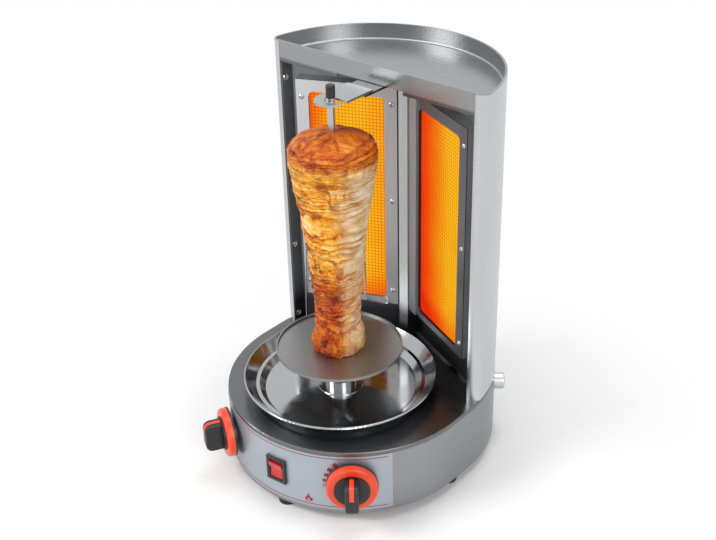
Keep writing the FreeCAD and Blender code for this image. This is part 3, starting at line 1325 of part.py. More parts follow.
def make_heat_wall():
    body = new_body("wall")
    out = f"({FLANGE_INNER} - seam)"
    thin = f"({out} - steel)"
    start = "(flange_y + steel + seam)"
    sketch = new_sketch(body, "XY_Plane", "wall_low")
    inner_y = f"({WALL_APEX} - {thin} * {VEE_TAN})"
    outer_y = f"({WALL_APEX} + {WALL_BACK} - {out} * {VEE_TAN})"
    apex = f"({WALL_APEX} + {WALL_BACK})"
    add_outline(sketch, [
        (thin, start), (out, start), (out, outer_y), ("0", apex), (f"-{out}", outer_y), (f"-{out}", start),
        (f"-{thin}", start), (f"-{thin}", inner_y), ("0", WALL_APEX), (thin, inner_y),
    ])
    pad(body, sketch, f"{WALL_HIGH} - wall_low")
    tools = []
    for side, sign in SIDES:
        window = side_box(
            f"wall_window_{side}", sign, "burner_near - seam", "burner_far + seam",
            "burner_proud - window_tool", "burner_proud + window_tool",
            "burner_low - seam", "burner_high + seam",
        )
        turned_window = group(f"wall_window_turned_{side}", [window])
        tools.append(set_place(turned_window, "0", "vee_y", "0", f"-{sign} * vee_angle"))
    end = f"({out} + tool_over)"
    for index, (name, _) in enumerate(WALL_SCREW_HEIGHTS):
        tools.append(wall_screw_bar(f"wall_hole_{index}", "screw_radius + snug", f"-{end}", end, name))
    finish(cut("wall_cut", body, group("wall_tools", tools)), "heat_wall")


def wall_screw_bar(name, radius, x0, x1, z):
    """A level bar along X at the place of the lip's screws."""
    bar = cylinder(name, radius, f"({x1}) - ({x0})", x0, "flange_y + steel + lip_screw", z)
    bar.Placement.Rotation = FreeCAD.Rotation(FreeCAD.Vector(0, 1, 0), 90)
    return bar


def make_wall_screws():
    screws = []
    face = f"({FLANGE_INNER} - seam - steel)"
    for index, (name, _) in enumerate(WALL_SCREW_HEIGHTS):
        for side, sign in SIDES:
            inner, outer = f"({face} - head_thick)", f"({face} + steel + seam / 2)"
            head = sorted((f"{sign} * {inner}", f"{sign} * {face}"), key=number)
            shank = sorted((f"{sign} * {face}", f"{sign} * {outer}"), key=number)
            screws.append(fuse(f"wall_screw_{index}_{side}", [
                wall_screw_bar(f"wall_head_{index}_{side}", "head_radius", *head, name),
                wall_screw_bar(f"wall_shank_{index}_{side}", "screw_radius", *shank, name),
            ]))
    finish(group("screws_of_wall", screws), "wall_screws")


def make_post():
    body = new_body("post")
    half, thin = "(post_wide / 2)", "(post_wide / 2 - steel)"
    end = f"({WALL_APEX} - {half} * {VEE_TAN} - snug)"
    sketch = new_sketch(body, "XY_Plane", "wall_low")
    add_outline(sketch, [
        (f"-{half}", "post_y"), (half, "post_y"), (half, end), (thin, end), (thin, "post_y + steel"),
        (f"-{thin}", "post_y + steel"), (f"-{thin}", end), (f"-{half}", end),
    ])
    pad(body, sketch, f"{WALL_HIGH} - wall_low")
    finish(body, "centre_post")


PLATE_NEAR = f"({PLATE_MID} - plate_wide / 2)"
PLATE_FAR = f"({PLATE_MID} + plate_wide / 2)"
PLATE_LOW = f"({BURNER_MID_Z} - plate_high)"
PLATE_HIGH = f"({BURNER_MID_Z} + plate_high)"


def make_burner(side, sign):
    place = ("0", "vee_y", "0", f"-{sign} * vee_angle")
    near, far = "burner_near", "burner_far"

    outer = side_box(
        f"box_outer_{side}", sign, near, far, "steel", "burner_deep", "burner_low", "burner_high",
    )
    room = side_box(
        f"box_room_{side}", sign, f"{near} + steel", f"{far} - steel", "2 * steel", "burner_deep - steel",
        "burner_low + steel", "burner_high - steel",
    )
    mouth = side_box(
        f"box_mouth_{side}", sign, f"{PLATE_NEAR} - seam", f"{PLATE_FAR} + seam", "0", "3 * steel",
        f"{PLATE_LOW} - seam", f"{PLATE_HIGH} + seam",
    )
    ledge = side_box(
        f"box_ledge_{side}", sign, f"{near} + steel", f"{far} - steel", f"{PLATE_BACK} + snug",
        f"{PLATE_BACK} + snug + steel", "burner_low + steel", "burner_high - steel",
    )
    window = side_box(
        f"box_window_{side}", sign, f"{PLATE_NEAR} + ledge", f"{PLATE_FAR} - ledge", "plate_set",
        "burner_deep - 2 * steel", f"{PLATE_LOW} + ledge", f"{PLATE_HIGH} - ledge",
    )
    inlet = cylinder(
        f"box_inlet_{side}", "mixer_radius + snug", "3 * steel", f"{sign} * mixer_at", "mixer_set",
        "burner_low - steel",
    )
    shell = cut(f"box_shell_{side}", outer, fuse(f"box_tool_{side}", [room, mouth, inlet]))
    rest = cut(f"box_rest_{side}", ledge, window)
    finish(fuse(f"box_{side}", [shell, rest]), f"burner_box_{side}", *place)

    body = new_body(f"frame_{side}")
    sketch = new_sketch(body, "XZ_Plane")
    ends = sorted((f"{sign} * {near}", f"{sign} * {far}"), key=number)
    add_outline(sketch, rectangle(ends[0], ends[1], "burner_low", "burner_high"))
    edges = (f"({sign} * ({PLATE_NEAR} + plate_overlap))", f"({sign} * ({PLATE_FAR} - plate_overlap))")
    left, right = sorted(edges, key=number)
    low, high = f"({PLATE_LOW} + plate_overlap_end)", f"({PLATE_HIGH} - plate_overlap_end)"
    add_outline(sketch, rounded(left, right, low, high, "window_round"))
    for x, z in frame_screw_places(sign):
        add_circle(sketch, x, z, "frame_shank + snug")
    pad(body, sketch, "steel", backward=True)
    reveal = new_sketch(body, "XZ_Plane", "-steel")
    add_outline(reveal, rounded(left, right, low, high, "window_round"))
    add_outline(reveal, rounded(
        f"({left} - steel)", f"({right} + steel)", f"({low} - steel)", f"({high} + steel)",
        "(window_round + steel)",
    ))
    pad(body, reveal, "plate_set - steel - snug", backward=True)
    finish(body, f"burner_frame_{side}", *place)

    for level, low_z in (("lower", PLATE_LOW), ("upper", BURNER_MID_Z)):
        tile = side_box(
            f"tile_{level}_{side}", sign, PLATE_NEAR, PLATE_FAR, "plate_set", PLATE_BACK,
            f"{low_z} + snug", f"{low_z} + plate_high - snug",
        )
        finish(group(f"tile_group_{level}_{side}", [tile]), f"ceramic_plate_{level}_{side}", *place)


def make_mixers():
    """The tube under each burner in which gas and air mix."""
    bore, sheet_top = "(mixer_radius - mixer_sheet)", "(mixer_low + mixer_sheet)"
    gas_hole, seat_top = "(injector_neck + snug)", f"({DECK_TOP} + steel)"
    tubes = []
    for side, _ in SIDES:
        tube = turned(f"mixer_{side}", [
            (gas_hole, "mixer_low"), ("mixer_radius", "mixer_low"), ("mixer_radius", DECK_TOP),
            ("mixer_flange", DECK_TOP), ("mixer_flange", seat_top), ("mixer_radius", seat_top),
            ("mixer_radius", "burner_low + mixer_in"), (bore, "burner_low + mixer_in"),
            (bore, sheet_top), (gas_hole, sheet_top),
        ])
        ports = new_sketch(tube, "XZ_Plane", "mixer_flange")
        low = "mixer_low + port_rise"
        add_outline(ports, rectangle("-mixer_radius / 2", "mixer_radius / 2", low, f"{low} + air_port"))
        pocket(tube, ports, "2 * mixer_flange")
        tubes.append(set_place(tube, *mixer_place(side)))
    finish(group("mixers", tubes), "mixer_tubes")


def frame_screw_places(sign):
    """Three screws down each side of the frame."""
    heights = ("frame_screw_low", "(frame_screw_low + frame_screw_high) / 2", "frame_screw_high")
    return [(f"{sign} * {x}", z) for x in ("frame_screw_near", "frame_screw_far") for z in heights]


def make_frame_screws():
    turned_groups = []
    for side, sign in SIDES:
        screws = []
        for index, (x, z) in enumerate(frame_screw_places(sign)):
            mark = f"{side}_{index}"
            head = cylinder_outward(f"frame_head_{mark}", "frame_head", "0", "frame_head_thick", z, x)
            shank = cylinder_outward(f"frame_shank_{mark}", "frame_shank", "-steel", "0", z, x)
            screws.append(fuse(f"frame_screw_{mark}", [head, shank]))
        turned_group = group(f"frame_screws_{side}", screws)
        turned_groups.append(set_place(turned_group, "0", "vee_y", "0", f"-{sign} * vee_angle"))
    finish(group("screws_of_frames", turned_groups), "frame_screws")


def make_gaskets():
    """Fibre ring that packs each pair of plates in its box."""
    rings = []
    for side, sign in SIDES:
        ring = side_box(
            f"gasket_outer_{side}", sign, "burner_near + steel + snug", "burner_far - steel - snug",
            "2 * steel + snug", PLATE_BACK, "burner_low + steel + snug", "burner_high - steel - snug",
        )
        hole = side_box(
            f"gasket_hole_{side}", sign, f"{PLATE_NEAR} - seam", f"{PLATE_FAR} + seam",
            "0", f"{PLATE_BACK} + tool_over", f"{PLATE_LOW} - seam", f"{PLATE_HIGH} + seam",
        )
        turned_ring = group(f"gasket_turned_{side}", [cut(f"gasket_{side}", ring, hole)])
        rings.append(set_place(turned_ring, "0", "vee_y", "0", f"-{sign} * vee_angle"))
    finish(group("gaskets", rings), "plate_gaskets")


make_drum()
make_deck()
make_bottom_plate()
make_feet()
make_panel()
make_bezels()
make_switch()
make_gas_inlet()
make_manifold()
for name, direction in SIDES:
    make_knob(name)
    make_burner(name, direction)
make_mixers()
make_pipes()
make_injectors()
make_gland()
make_terminal_block()
make_motor()
make_bowl()
make_spit()
make_meat()
make_shell()
make_tray()
make_arm()
make_heat_wall()
make_wall_screws()
make_post()
make_frame_screws()
make_gaskets()
doc.recompute()

for item in doc.Objects:
    if "Invalid" in item.State or "Error" in item.State:
        raise ValueError(f"{item.Name} ({item.Label}) failed: {item.State}")
os.makedirs("parts", exist_ok=True)
for part in parts:
    shape = part.Shape
    if shape.isNull() or not shape.isValid() or not shape.Solids:
        raise ValueError(f"{part.Label} has no valid solid")
    shape.exportStep(f"parts/{part.Label}.step")
    print(f"{part.Label}: {len(shape.Solids)} solid(s), {shape.Volume:.0f} mm3")
print(f"spit axis at y = {number(AXIS_Y):.3f}")
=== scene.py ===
"""Looks of a vertical kebab grill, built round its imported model."""
import math

import bpy
from mathutils import Matrix, Vector, noise


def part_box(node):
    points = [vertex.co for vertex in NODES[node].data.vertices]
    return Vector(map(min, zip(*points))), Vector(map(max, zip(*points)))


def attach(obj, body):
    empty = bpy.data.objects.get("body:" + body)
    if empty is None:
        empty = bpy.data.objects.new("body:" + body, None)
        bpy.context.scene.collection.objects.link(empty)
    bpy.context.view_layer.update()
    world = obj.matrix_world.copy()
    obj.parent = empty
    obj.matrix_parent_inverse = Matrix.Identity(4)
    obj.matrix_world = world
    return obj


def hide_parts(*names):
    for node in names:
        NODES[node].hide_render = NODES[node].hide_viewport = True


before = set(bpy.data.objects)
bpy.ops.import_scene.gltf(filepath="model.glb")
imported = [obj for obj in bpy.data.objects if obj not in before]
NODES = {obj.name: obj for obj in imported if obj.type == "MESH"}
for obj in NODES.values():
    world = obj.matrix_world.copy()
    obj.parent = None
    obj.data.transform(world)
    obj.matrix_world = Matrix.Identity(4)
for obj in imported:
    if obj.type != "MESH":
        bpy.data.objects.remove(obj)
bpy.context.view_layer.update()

MM = 0.001

# Sizes in mm and angles in degrees, as the part has them, with depths measured from the spit's axis
CASING_RADIUS = 145.0
FRONT_ARC_Y, REAR_ARC_Y = 21.7, 55.8
FLANGE_Y = 63.5
CORNER_RADIUS = 10.0
CORNER_X, CORNER_Y = 133.83, FLANGE_Y + CORNER_RADIUS
STEEL, SEAM = 1.2, 0.2
TRAY_FLOOR, TRAY_SHEET = 442.0, 1.0
CONTROLS_TURN, KNOB_SPREAD = 5.2, 34.6
VEE_Y = 124.4
BURNER_NEAR, BURNER_FAR = 11.9, 129.0
BURNER_LOW, BURNER_HIGH = 139.0, 416.0
WALL_SET = 14.0

SPIT = sum(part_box("spit_rod"), Vector()) / 2
FRONT_ARC = Vector((0, SPIT.y + FRONT_ARC_Y * MM, 0))
VEE_APEX = Vector((0, SPIT.y + VEE_Y * MM, 0))
VEE_ANGLE = math.radians(24)
PANEL_SHEET = 0.6
PANEL_RADIUS = (CASING_RADIUS + PANEL_SHEET) * MM
SIDES = (("left", -1), ("right", 1))
SQUARE = ((0, 0), (1, 0), (1, 1), (0, 1))
FROM_TO = ("From Min", "From Max", "To Min", "To Max")


# Pieces and finishes

def linear(code):
    """An sRGB hex colour as the linear values that Blender's sockets take."""
    parts = [int(code[start:start + 2], 16) / 255 for start in (1, 3, 5)]
    return [
        part / 12.92 if part <= 0.04045 else ((part + 0.055) / 1.055) ** 2.4 for part in parts
    ] + [1.0]


def add(finish, kind, sockets=None, **settings):
    """A node in that material or world, with its settings, and its sockets given values or links."""
    node = finish.node_tree.nodes.new(f"ShaderNode{kind}")
    for name, value in settings.items():
        setattr(node, name, value)
    for name, value in (sockets or {}).items():
        if isinstance(value, bpy.types.NodeSocket):
            finish.node_tree.links.new(value, node.inputs[name])
        else:
            node.inputs[name].default_value = value
    return node


def new_finish(name, **sockets):
    """A material with one shader, whose plain values are set on its own sockets."""
    finish = bpy.data.materials.new(name)
    finish.use_nodes = True
    shader = finish.node_tree.nodes["Principled BSDF"]
    for socket, value in sockets.items():
        shader.inputs[socket.replace("_", " ")].default_value = value
    return finish, shader


def link(finish, output, socket):
    finish.node_tree.links.new(output, socket)


def ramp(finish, value, stops):
    """A colour for each value, from stops of place and hex colour."""
    node = add(finish, "ValToRGB", {"Fac": value})
    while len(node.color_ramp.elements) < len(stops):
        node.color_ramp.elements.new(0.5)
    for element, (place, code) in zip(node.color_ramp.elements, stops):
        element.position = place
        element.color = linear(code)
    return node.outputs["Color"]


def add_piece(name, points, faces, finish, body, smooth=True, sharp=40):
    """A mesh whose place is in its points, riding on that body."""
    mesh = bpy.data.meshes.new(name)
    mesh.from_pydata([tuple(point) for point in points], [], faces)
    mesh.update()
    mesh.materials.append(finish)
    if smooth:
        mesh.shade_smooth()
        mesh.set_sharp_from_angle(angle=math.radians(sharp))
    item = bpy.data.objects.new(name, mesh)
    bpy.context.scene.collection.objects.link(item)
    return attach(item, body)


def join_up(shells):
    """Several lists of points and faces as one."""
    points, faces = [], []
    for more_points, more_faces in shells:
        start = len(points)
        points += more_points
        faces += [[corner + start for corner in face] for face in more_faces]
    return points, faces


def on_panel(angle, height, out=0.0):
    """A point of the drum's front, from its angle round the front half round and its height in mm."""
    turn = math.radians(angle)
    reach = PANEL_RADIUS + out * MM
    return FRONT_ARC + Vector((reach * math.sin(turn), -reach * math.cos(turn), height * MM))


def burner_point(sign, along, height, proud=0.0):
    """A point by a burner's front, from its distance along the burner, its height and its lift."""
    turn = VEE_ANGLE
    return VEE_APEX + Vector((
        sign * (along * math.cos(turn) - proud * math.sin(turn)) * MM,
        -(along * math.sin(turn) + proud * math.cos(turn)) * MM,
        height * MM,
    ))


# Finishes of the metals

# Noise cells in a metre along and across the grain: streaks some 60 mm long and under 1 mm apart
ALONG, ACROSS = 16, 1300
GRAINS = {
    "level": (ALONG, ALONG, ACROSS),
    "upright": (ACROSS, ACROSS, ALONG),
    "sideways": (ALONG, ACROSS, ACROSS),
}


def brushed_steel(name, light, dark, grain, rough=(0.3, 0.38), smear=0.0, shade_below=None):
    """Stainless sheet with a ground finish: fine parallel streaks, and lights smeared across the grain.

    The painted shade gives two heights in mm and the share of the colour that is left under the lower
    one.
    """
    finish, shader = new_finish(name, Metallic=1.0, Anisotropic=smear)
    place = add(finish, "TexCoord").outputs["Object"]
    if grain == "round":
        flat = add(finish, "VectorMath", {0: place, 1: (1, 1, 0)}, operation="MULTIPLY")
        middle = add(finish, "VectorMath", {
            0: flat.outputs[0], 1: (SPIT.x, SPIT.y, 0)}, operation="DISTANCE")
        reach = add(finish, "Math", {0: middle.outputs["Value"], 1: ACROSS}, operation="MULTIPLY")
        streaks = add(finish, "TexNoise", {
            "W": reach.outputs[0], "Scale": 1.0, "Detail": 3.0}, noise_dimensions="1D")
    else:
        stretched = add(finish, "Mapping", {"Vector": place, "Scale": GRAINS[grain]})
        streaks = add(finish, "TexNoise", {"Vector": stretched.outputs[0], "Scale": 1.0, "Detail": 3.0})
    if smear:
        around = add(finish, "Tangent", direction_type="RADIAL", axis="Z")
        link(finish, around.outputs[0], shader.inputs["Tangent"])
    clouds = add(finish, "TexNoise", {"Vector": place, "Scale": 7.0, "Detail": 2.0})
    mixed = add(finish, "Mix", {"Factor": 0.4, "A": streaks.outputs["Fac"], "B": clouds.outputs["Fac"]})
    colour = ramp(finish, mixed.outputs["Result"], ((0.3, dark), (0.7, light)))
    if shade_below:
        # Painted shade: the colour is darkened below the lower height
        height = add(finish, "SeparateXYZ", {"Vector": place}).outputs["Z"]
        share = add(finish, "MapRange", {
            "Value": height, "From Min": shade_below[0] * MM, "From Max": shade_below[1] * MM, "To Min": shade_below[2]})
        shaded = add(finish, "VectorMath", {0: colour, 1: share.outputs["Result"]}, operation="MULTIPLY")
        colour = shaded.outputs[0]
    link(finish, colour, shader.inputs["Base Color"])
    roughness = add(finish, "MapRange", {
        "Value": mixed.outputs["Result"], **dict(zip(FROM_TO, (0.3, 0.7, *rough)))})
    link(finish, roughness.outputs["Result"], shader.inputs["Roughness"])
    bump = add(finish, "Bump", {"Strength": 0.2, "Distance": 0.00002, "Height": streaks.outputs["Fac"]})
    link(finish, bump.outputs["Normal"], shader.inputs["Normal"])
    return finish


def polished_metal(name, code, low, high, marks=60.0):
    """Bright metal with faint cloudy marks from wiping, which break up its reflections a little."""
    finish, shader = new_finish(name, Metallic=1.0, Base_Color=linear(code))
    place = add(finish, "TexCoord").outputs["Object"]
    clouds = add(finish, "TexNoise", {"Vector": place, "Scale": marks, "Detail": 4.0, "Distortion": 0.4})
    roughness = add(finish, "MapRange", {
        "Value": clouds.outputs["Fac"], **dict(zip(FROM_TO, (0.35, 0.7, low, high)))})
    link(finish, roughness.outputs["Result"], shader.inputs["Roughness"])
    return finish


def moulded_plastic(name, light, dark, rough, pebble=0.7, depth=0.03):
    """Moulded plastic with a fine pebbled skin, pebble and depth in mm, which softens its highlights."""
    finish, shader = new_finish(name, Roughness=rough)
    place = add(finish, "TexCoord").outputs["Object"]
    grain = add(finish, "TexNoise", {"Vector": place, "Scale": 1 / (pebble * MM), "Detail": 3.0})
    clouds = add(finish, "TexNoise", {"Vector": place, "Scale": 45.0, "Detail": 2.0})
    colour = ramp(finish, clouds.outputs["Fac"], ((0.35, dark), (0.7, light)))
    link(finish, colour, shader.inputs["Base Color"])
    bump = add(finish, "Bump", {"Strength": 0.5, "Distance": depth * MM, "Height": grain.outputs["Fac"]})
    link(finish, bump.outputs["Normal"], shader.inputs["Normal"])
    return finish


SHELL_STEEL = brushed_steel("ground_stainless_shell", "#CFD0D1", "#C5C6C8", "level", (0.32, 0.38), 0.5)
DRUM_STEEL = brushed_steel("ground_stainless_drum", "#9C9D9E", "#929395", "level", (0.34, 0.4), 0.5)
DECK_STEEL = brushed_steel("ground_stainless_deck", "#78797B", "#6E6F71", "sideways", (0.26, 0.32))
# The tray's apron, below its floor, is darkened by painted shade
TRAY_STEEL = brushed_steel("ground_stainless_tray", "#A2A3A4", "#98999A", "sideways", (0.25, 0.3),
                           shade_below=(439, 442, 0.46))
# The heat wall's foot under the burners is darkened by painted shade
WALL_STEEL = brushed_steel("ground_stainless_heat_wall", "#94969A", "#888A8E", "upright", (0.5, 0.58),
                           shade_below=(122, 142, 0.35))
FRAME_STEEL = brushed_steel("ground_stainless_burner_frame", "#D2D4D5", "#C8CACC", "upright",
                            (0.5, 0.58))
TURNED_STEEL = brushed_steel("turned_stainless_spit", "#A6A7A8", "#9A9B9C", "round", (0.36, 0.42))
ROD_STEEL = brushed_steel("drawn_stainless_rod", "#C6C7C9", "#B7B8BA", "upright", (0.18, 0.26))
# The arm is darker than its nose: painted shadow of the tray's apron over it
SHADED_ARM_STEEL = brushed_steel("ground_stainless_arm", "#77787A", "#6C6D6F", "level", (0.3, 0.36))
NOSE_STEEL = brushed_steel("ground_stainless_arm_nose", "#B4B6B8", "#A8AAAC", "sideways", (0.4, 0.46))
# The right burner's frame, seen edge-on, is a darker copy of the frames' steel: painted shade
SHADED_FRAME_STEEL = brushed_steel("shaded_burner_frame", "#848588", "#76777A", "upright", (0.3, 0.4))
# The post's foot is darkened by painted shade
POST_STEEL = brushed_steel("ground_stainless_post", "#C4C5C6", "#B8B9BA", "upright", (0.42, 0.5),
                           shade_below=(130, 148, 0.2))
BOWL_STEEL = polished_metal("polished_stainless_bowl", "#B0B1B2", 0.08, 0.2)
FOLD_STEEL = brushed_steel("pressed_stainless_fold", "#B0B1B2", "#A6A7A8", "level", (0.4, 0.46))
ZINC = polished_metal("bright_zinc_screws", "#C9CBCD", 0.16, 0.32, 900.0)
GALVANISED = brushed_steel("zinc_coated_sheet", "#A6A8AA", "#94969A", "level", (0.4, 0.52))
BRASS = polished_metal("turned_brass", "#C9A35A", 0.18, 0.34, 400.0)
ALUMINIUM = polished_metal("drawn_aluminium_tube", "#C4C5C7", 0.25, 0.4, 300.0)
BLACK_PLASTIC = moulded_plastic("black_phenolic_moulding", "#242425", "#151516", 0.36)
RED_PLASTIC = moulded_plastic("red_moulded_ring", "#F4502A", "#EA4420", 0.34)
ROCKER_RED = moulded_plastic("red_clear_rocker", "#D8281F", "#B81A16", 0.2)
RUBBER = moulded_plastic("black_rubber", "#222223", "#141415", 0.62, 1.2, 0.05)
WHITE_PLASTIC = moulded_plastic("white_nylon_block", "#E9E8E2", "#DAD9D2", 0.45)
FIBRE = moulded_plastic("ceramic_fibre_packing", "#E6E2D6", "#CFC9BA", 0.9, 1.6, 0.25)


def satin_panel():
    """Aluminium foil panel, satin and faintly blue, which keeps an even pale sheen round the drum."""
    finish, shader = new_finish("satin_foil_panel", Metallic=0.55)
    place = add(finish, "TexCoord").outputs["Object"]
    speckle = add(finish, "TexNoise", {"Vector": place, "Scale": 900.0, "Detail": 2.0})
    clouds = add(finish, "TexNoise", {"Vector": place, "Scale": 14.0, "Detail": 2.0})
    mixed = add(finish, "Mix", {"Factor": 0.6, "A": speckle.outputs["Fac"], "B": clouds.outputs["Fac"]})
    colour = ramp(finish, mixed.outputs["Result"], ((0.3, "#A2AAB2"), (0.7, "#ADB5BD")))
    link(finish, colour, shader.inputs["Base Color"])
    roughness = add(finish, "MapRange", {
        "Value": mixed.outputs["Result"], **dict(zip(FROM_TO, (0.3, 0.7, 0.34, 0.46)))})
    link(finish, roughness.outputs["Result"], shader.inputs["Roughness"])
    return finish


def printed_ink(name, code):
    """Screen-printed ink, a little uneven, with a duller skin than the foil round it."""
    finish, shader = new_finish(name, Roughness=0.5)
    place = add(finish, "TexCoord").outputs["Object"]
    patches = add(finish, "TexNoise", {"Vector": place, "Scale": 700.0, "Detail": 2.0})
    tone = add(finish, "MapRange", {"Value": patches.outputs["Fac"], "To Min": 0.85, "To Max": 1.1})
    shade = add(finish, "VectorMath", {
        0: linear(code)[:3], 1: tone.outputs["Result"]}, operation="MULTIPLY")
    link(finish, shade.outputs[0], shader.inputs["Base Color"])
    return finish


PANEL = satin_panel()
RED_INK = printed_ink("dark_red_ink", "#A3243C")
GREY_INK = printed_ink("grey_ink", "#8D93A0")
# The share of the plates' glow that reaches the steel round them, in a bright studio
GLOW_ON_STEEL = 0.25
PIT_HEAT = ((0.0, "#F42C02"), (0.3, "#FF5404"), (0.62, "#FF9008"), (1.0, "#FFC41C"))
WEB_HEAT = ((0.0, "#C41E00"), (0.3, "#DC3E02"), (0.62, "#D86A06"), (1.0, "#E2900C"))
# For each burner, metres along it from and to which the heat rises, with both heats, and then the
# same for the heat that it loses at its outer edge
HEAT_ALONG = {
    -1: ((0.024, 0.052, 0.72, 0.96), (0.088, 0.116, 0.0, 0.62)),
    1: ((0.024, 0.088, 0.06, 0.98), (0.116, 0.12, 0.0, 0.2)),
}
FOOT_LOSS = (0.146, 0.185, 0.4, 0.0)


def glowing_ceramic(sign, name, stops):
    """Perforated ceramic at red to yellow heat, hottest where the gas burns best.

    It is cooler and redder at its edges and foot.
    """
    finish, shader = new_finish(name, Roughness=0.9, Base_Color=linear("#2A1408"), Emission_Strength=1.0)
    shader.inputs["Specular IOR Level"].default_value = 0.1
    place = add(finish, "TexCoord").outputs["Object"]
    along = (sign * math.cos(VEE_ANGLE), -math.sin(VEE_ANGLE), 0)
    from_apex = add(finish, "VectorMath", {0: place, 1: tuple(VEE_APEX)}, operation="SUBTRACT")
    reach = add(finish, "VectorMath", {0: from_apex.outputs[0], 1: along}, operation="DOT_PRODUCT")
    height = add(finish, "SeparateXYZ", {"Vector": place}).outputs["Z"]
    side, edge = (
        add(finish, "MapRange", {"Value": reach.outputs["Value"], **dict(zip(FROM_TO, limits))})
        for limits in HEAT_ALONG[sign]
    )
    foot = add(finish, "MapRange", {
        "Value": height, **dict(zip(FROM_TO, FOOT_LOSS))}, interpolation_type="SMOOTHSTEP")
    patches = add(finish, "TexNoise", {"Vector": place, "Scale": 26.0, "Detail": 2.0})
    spread = add(finish, "MapRange", {"Value": patches.outputs["Fac"], "To Min": -0.12, "To Max": 0.12})
    heat = side.outputs["Result"]
    for less in (edge, foot):
        heat = add(finish, "Math", {0: heat, 1: less.outputs["Result"]}, operation="SUBTRACT").outputs[0]
    heat = add(finish, "Math", {0: heat, 1: spread.outputs["Result"]}, operation="ADD").outputs[0]
    link(finish, ramp(finish, heat, stops), shader.inputs["Emission Color"])
    seen = add(finish, "LightPath").outputs["Is Camera Ray"]
    strength = add(finish, "MapRange", {"Value": seen, "To Min": GLOW_ON_STEEL, "To Max": 1.0})
    link(finish, strength.outputs["Result"], shader.inputs["Emission Strength"])
    return finish


def roasted_meat():
    """Thin slices of roasted meat, golden where the heat caught them and dark at the crisp edges.

    The right side stays creamy, partly as real lighter roast and partly as painted light.
    """
    finish, shader = new_finish(
        "roasted_sliced_meat", Subsurface_Weight=0.03, Coat_Weight=0.12, Coat_Roughness=0.2)
    shader.inputs["Specular IOR Level"].default_value = 0.2
    shader.inputs["Subsurface Radius"].default_value = (0.004, 0.0015, 0.0008)
    place = add(finish, "TexCoord").outputs["Object"]
    # Folds about 14 mm wide and 8 mm high, with shreds of 2 to 4 mm in them
    folds = add(finish, "Mapping", {"Vector": place, "Scale": (1, 1, 1.8)})
    shreds = add(finish, "TexNoise", {
        "Vector": folds.outputs[0], "Scale": 72.0, "Detail": 6.0, "Roughness": 0.68, "Distortion": 1.6})
    layers = add(finish, "Mapping", {"Vector": place, "Scale": (1, 1, 4.0)})
    slices = add(finish, "TexNoise", {
        "Vector": layers.outputs[0], "Scale": 46.0, "Detail": 4.0, "Roughness": 0.55, "Distortion": 0.6})
    blots = add(finish, "TexNoise", {"Vector": place, "Scale": 44.0, "Detail": 3.0, "Distortion": 0.9})
    tone = add(finish, "Attribute", attribute_name="slice_tone").outputs["Fac"]
    pale = add(finish, "Attribute", attribute_name="pale_side").outputs["Fac"]
    crust = add(finish, "Attribute", attribute_name="crust").outputs["Fac"]
    roast = add(finish, "Attribute", attribute_name="roast").outputs["Fac"]
    mottled = add(finish, "Mix", {"Factor": 0.4, "A": shreds.outputs["Fac"], "B": tone})
    layered = add(finish, "Mix", {"Factor": 0.45, "A": slices.outputs["Fac"], "B": tone})
    golden = ramp(finish, mottled.outputs["Result"], (
        (0.33, "#6A2602"), (0.4, "#B85602"), (0.46, "#E08A0E"), (0.52, "#F0A62A"), (0.585, "#F8C660"),
        (0.66, "#FCE6B0")))
    creamy = ramp(finish, layered.outputs["Result"], (
        (0.32, "#A87038"), (0.4, "#D2A468"), (0.48, "#E6C698"), (0.57, "#F4E2C4"), (0.7, "#FCF4E6")))
    deep = ramp(finish, mottled.outputs["Result"], (
        (0.33, "#4C0E00"), (0.41, "#8E2600"), (0.48, "#BA4600"), (0.55, "#D06400"), (0.63, "#E48806"),
        (0.72, "#EEB038")))
    cooked = add(finish, "Mix", {"Factor": roast, "A": golden, "B": deep}, data_type="RGBA")
    sided = add(finish, "Mix", {
        "Factor": pale, "A": cooked.outputs["Result"], "B": creamy}, data_type="RGBA")
    red = add(finish, "MapRange", {
        "Value": blots.outputs["Fac"], **dict(zip(FROM_TO, (0.56, 0.64, 0.0, 0.75)))})
    inward = add(finish, "Math", {0: 1.0, 1: pale}, operation="SUBTRACT")
    patch = add(finish, "Math", {0: red.outputs["Result"], 1: inward.outputs[0]}, operation="MULTIPLY")
    blushed = add(finish, "Mix", {
        "Factor": patch.outputs[0], "A": sided.outputs["Result"], "B": linear("#A83A14")},
        data_type="RGBA")
    crisped = add(finish, "Mix", {
        "Factor": crust, "A": blushed.outputs["Result"], "B": linear("#561C06")}, data_type="RGBA")
    link(finish, crisped.outputs["Result"], shader.inputs["Base Color"])
    roughness = add(finish, "MapRange", {"Value": shreds.outputs["Fac"], "To Min": 0.25, "To Max": 0.6})
    link(finish, roughness.outputs["Result"], shader.inputs["Roughness"])
    fine = add(finish, "TexNoise", {"Vector": layers.outputs[0], "Scale": 240.0, "Detail": 4.0})
    bump = add(finish, "Bump", {"Strength": 0.7, "Distance": 0.0005, "Height": fine.outputs["Fac"]})
    coarse = add(finish, "Bump", {
        "Strength": 0.9, "Distance": 0.002, "Height": shreds.outputs["Fac"],
        "Normal": bump.outputs["Normal"]})
    link(finish, coarse.outputs["Normal"], shader.inputs["Normal"])
    return finish


MEAT = roasted_meat()

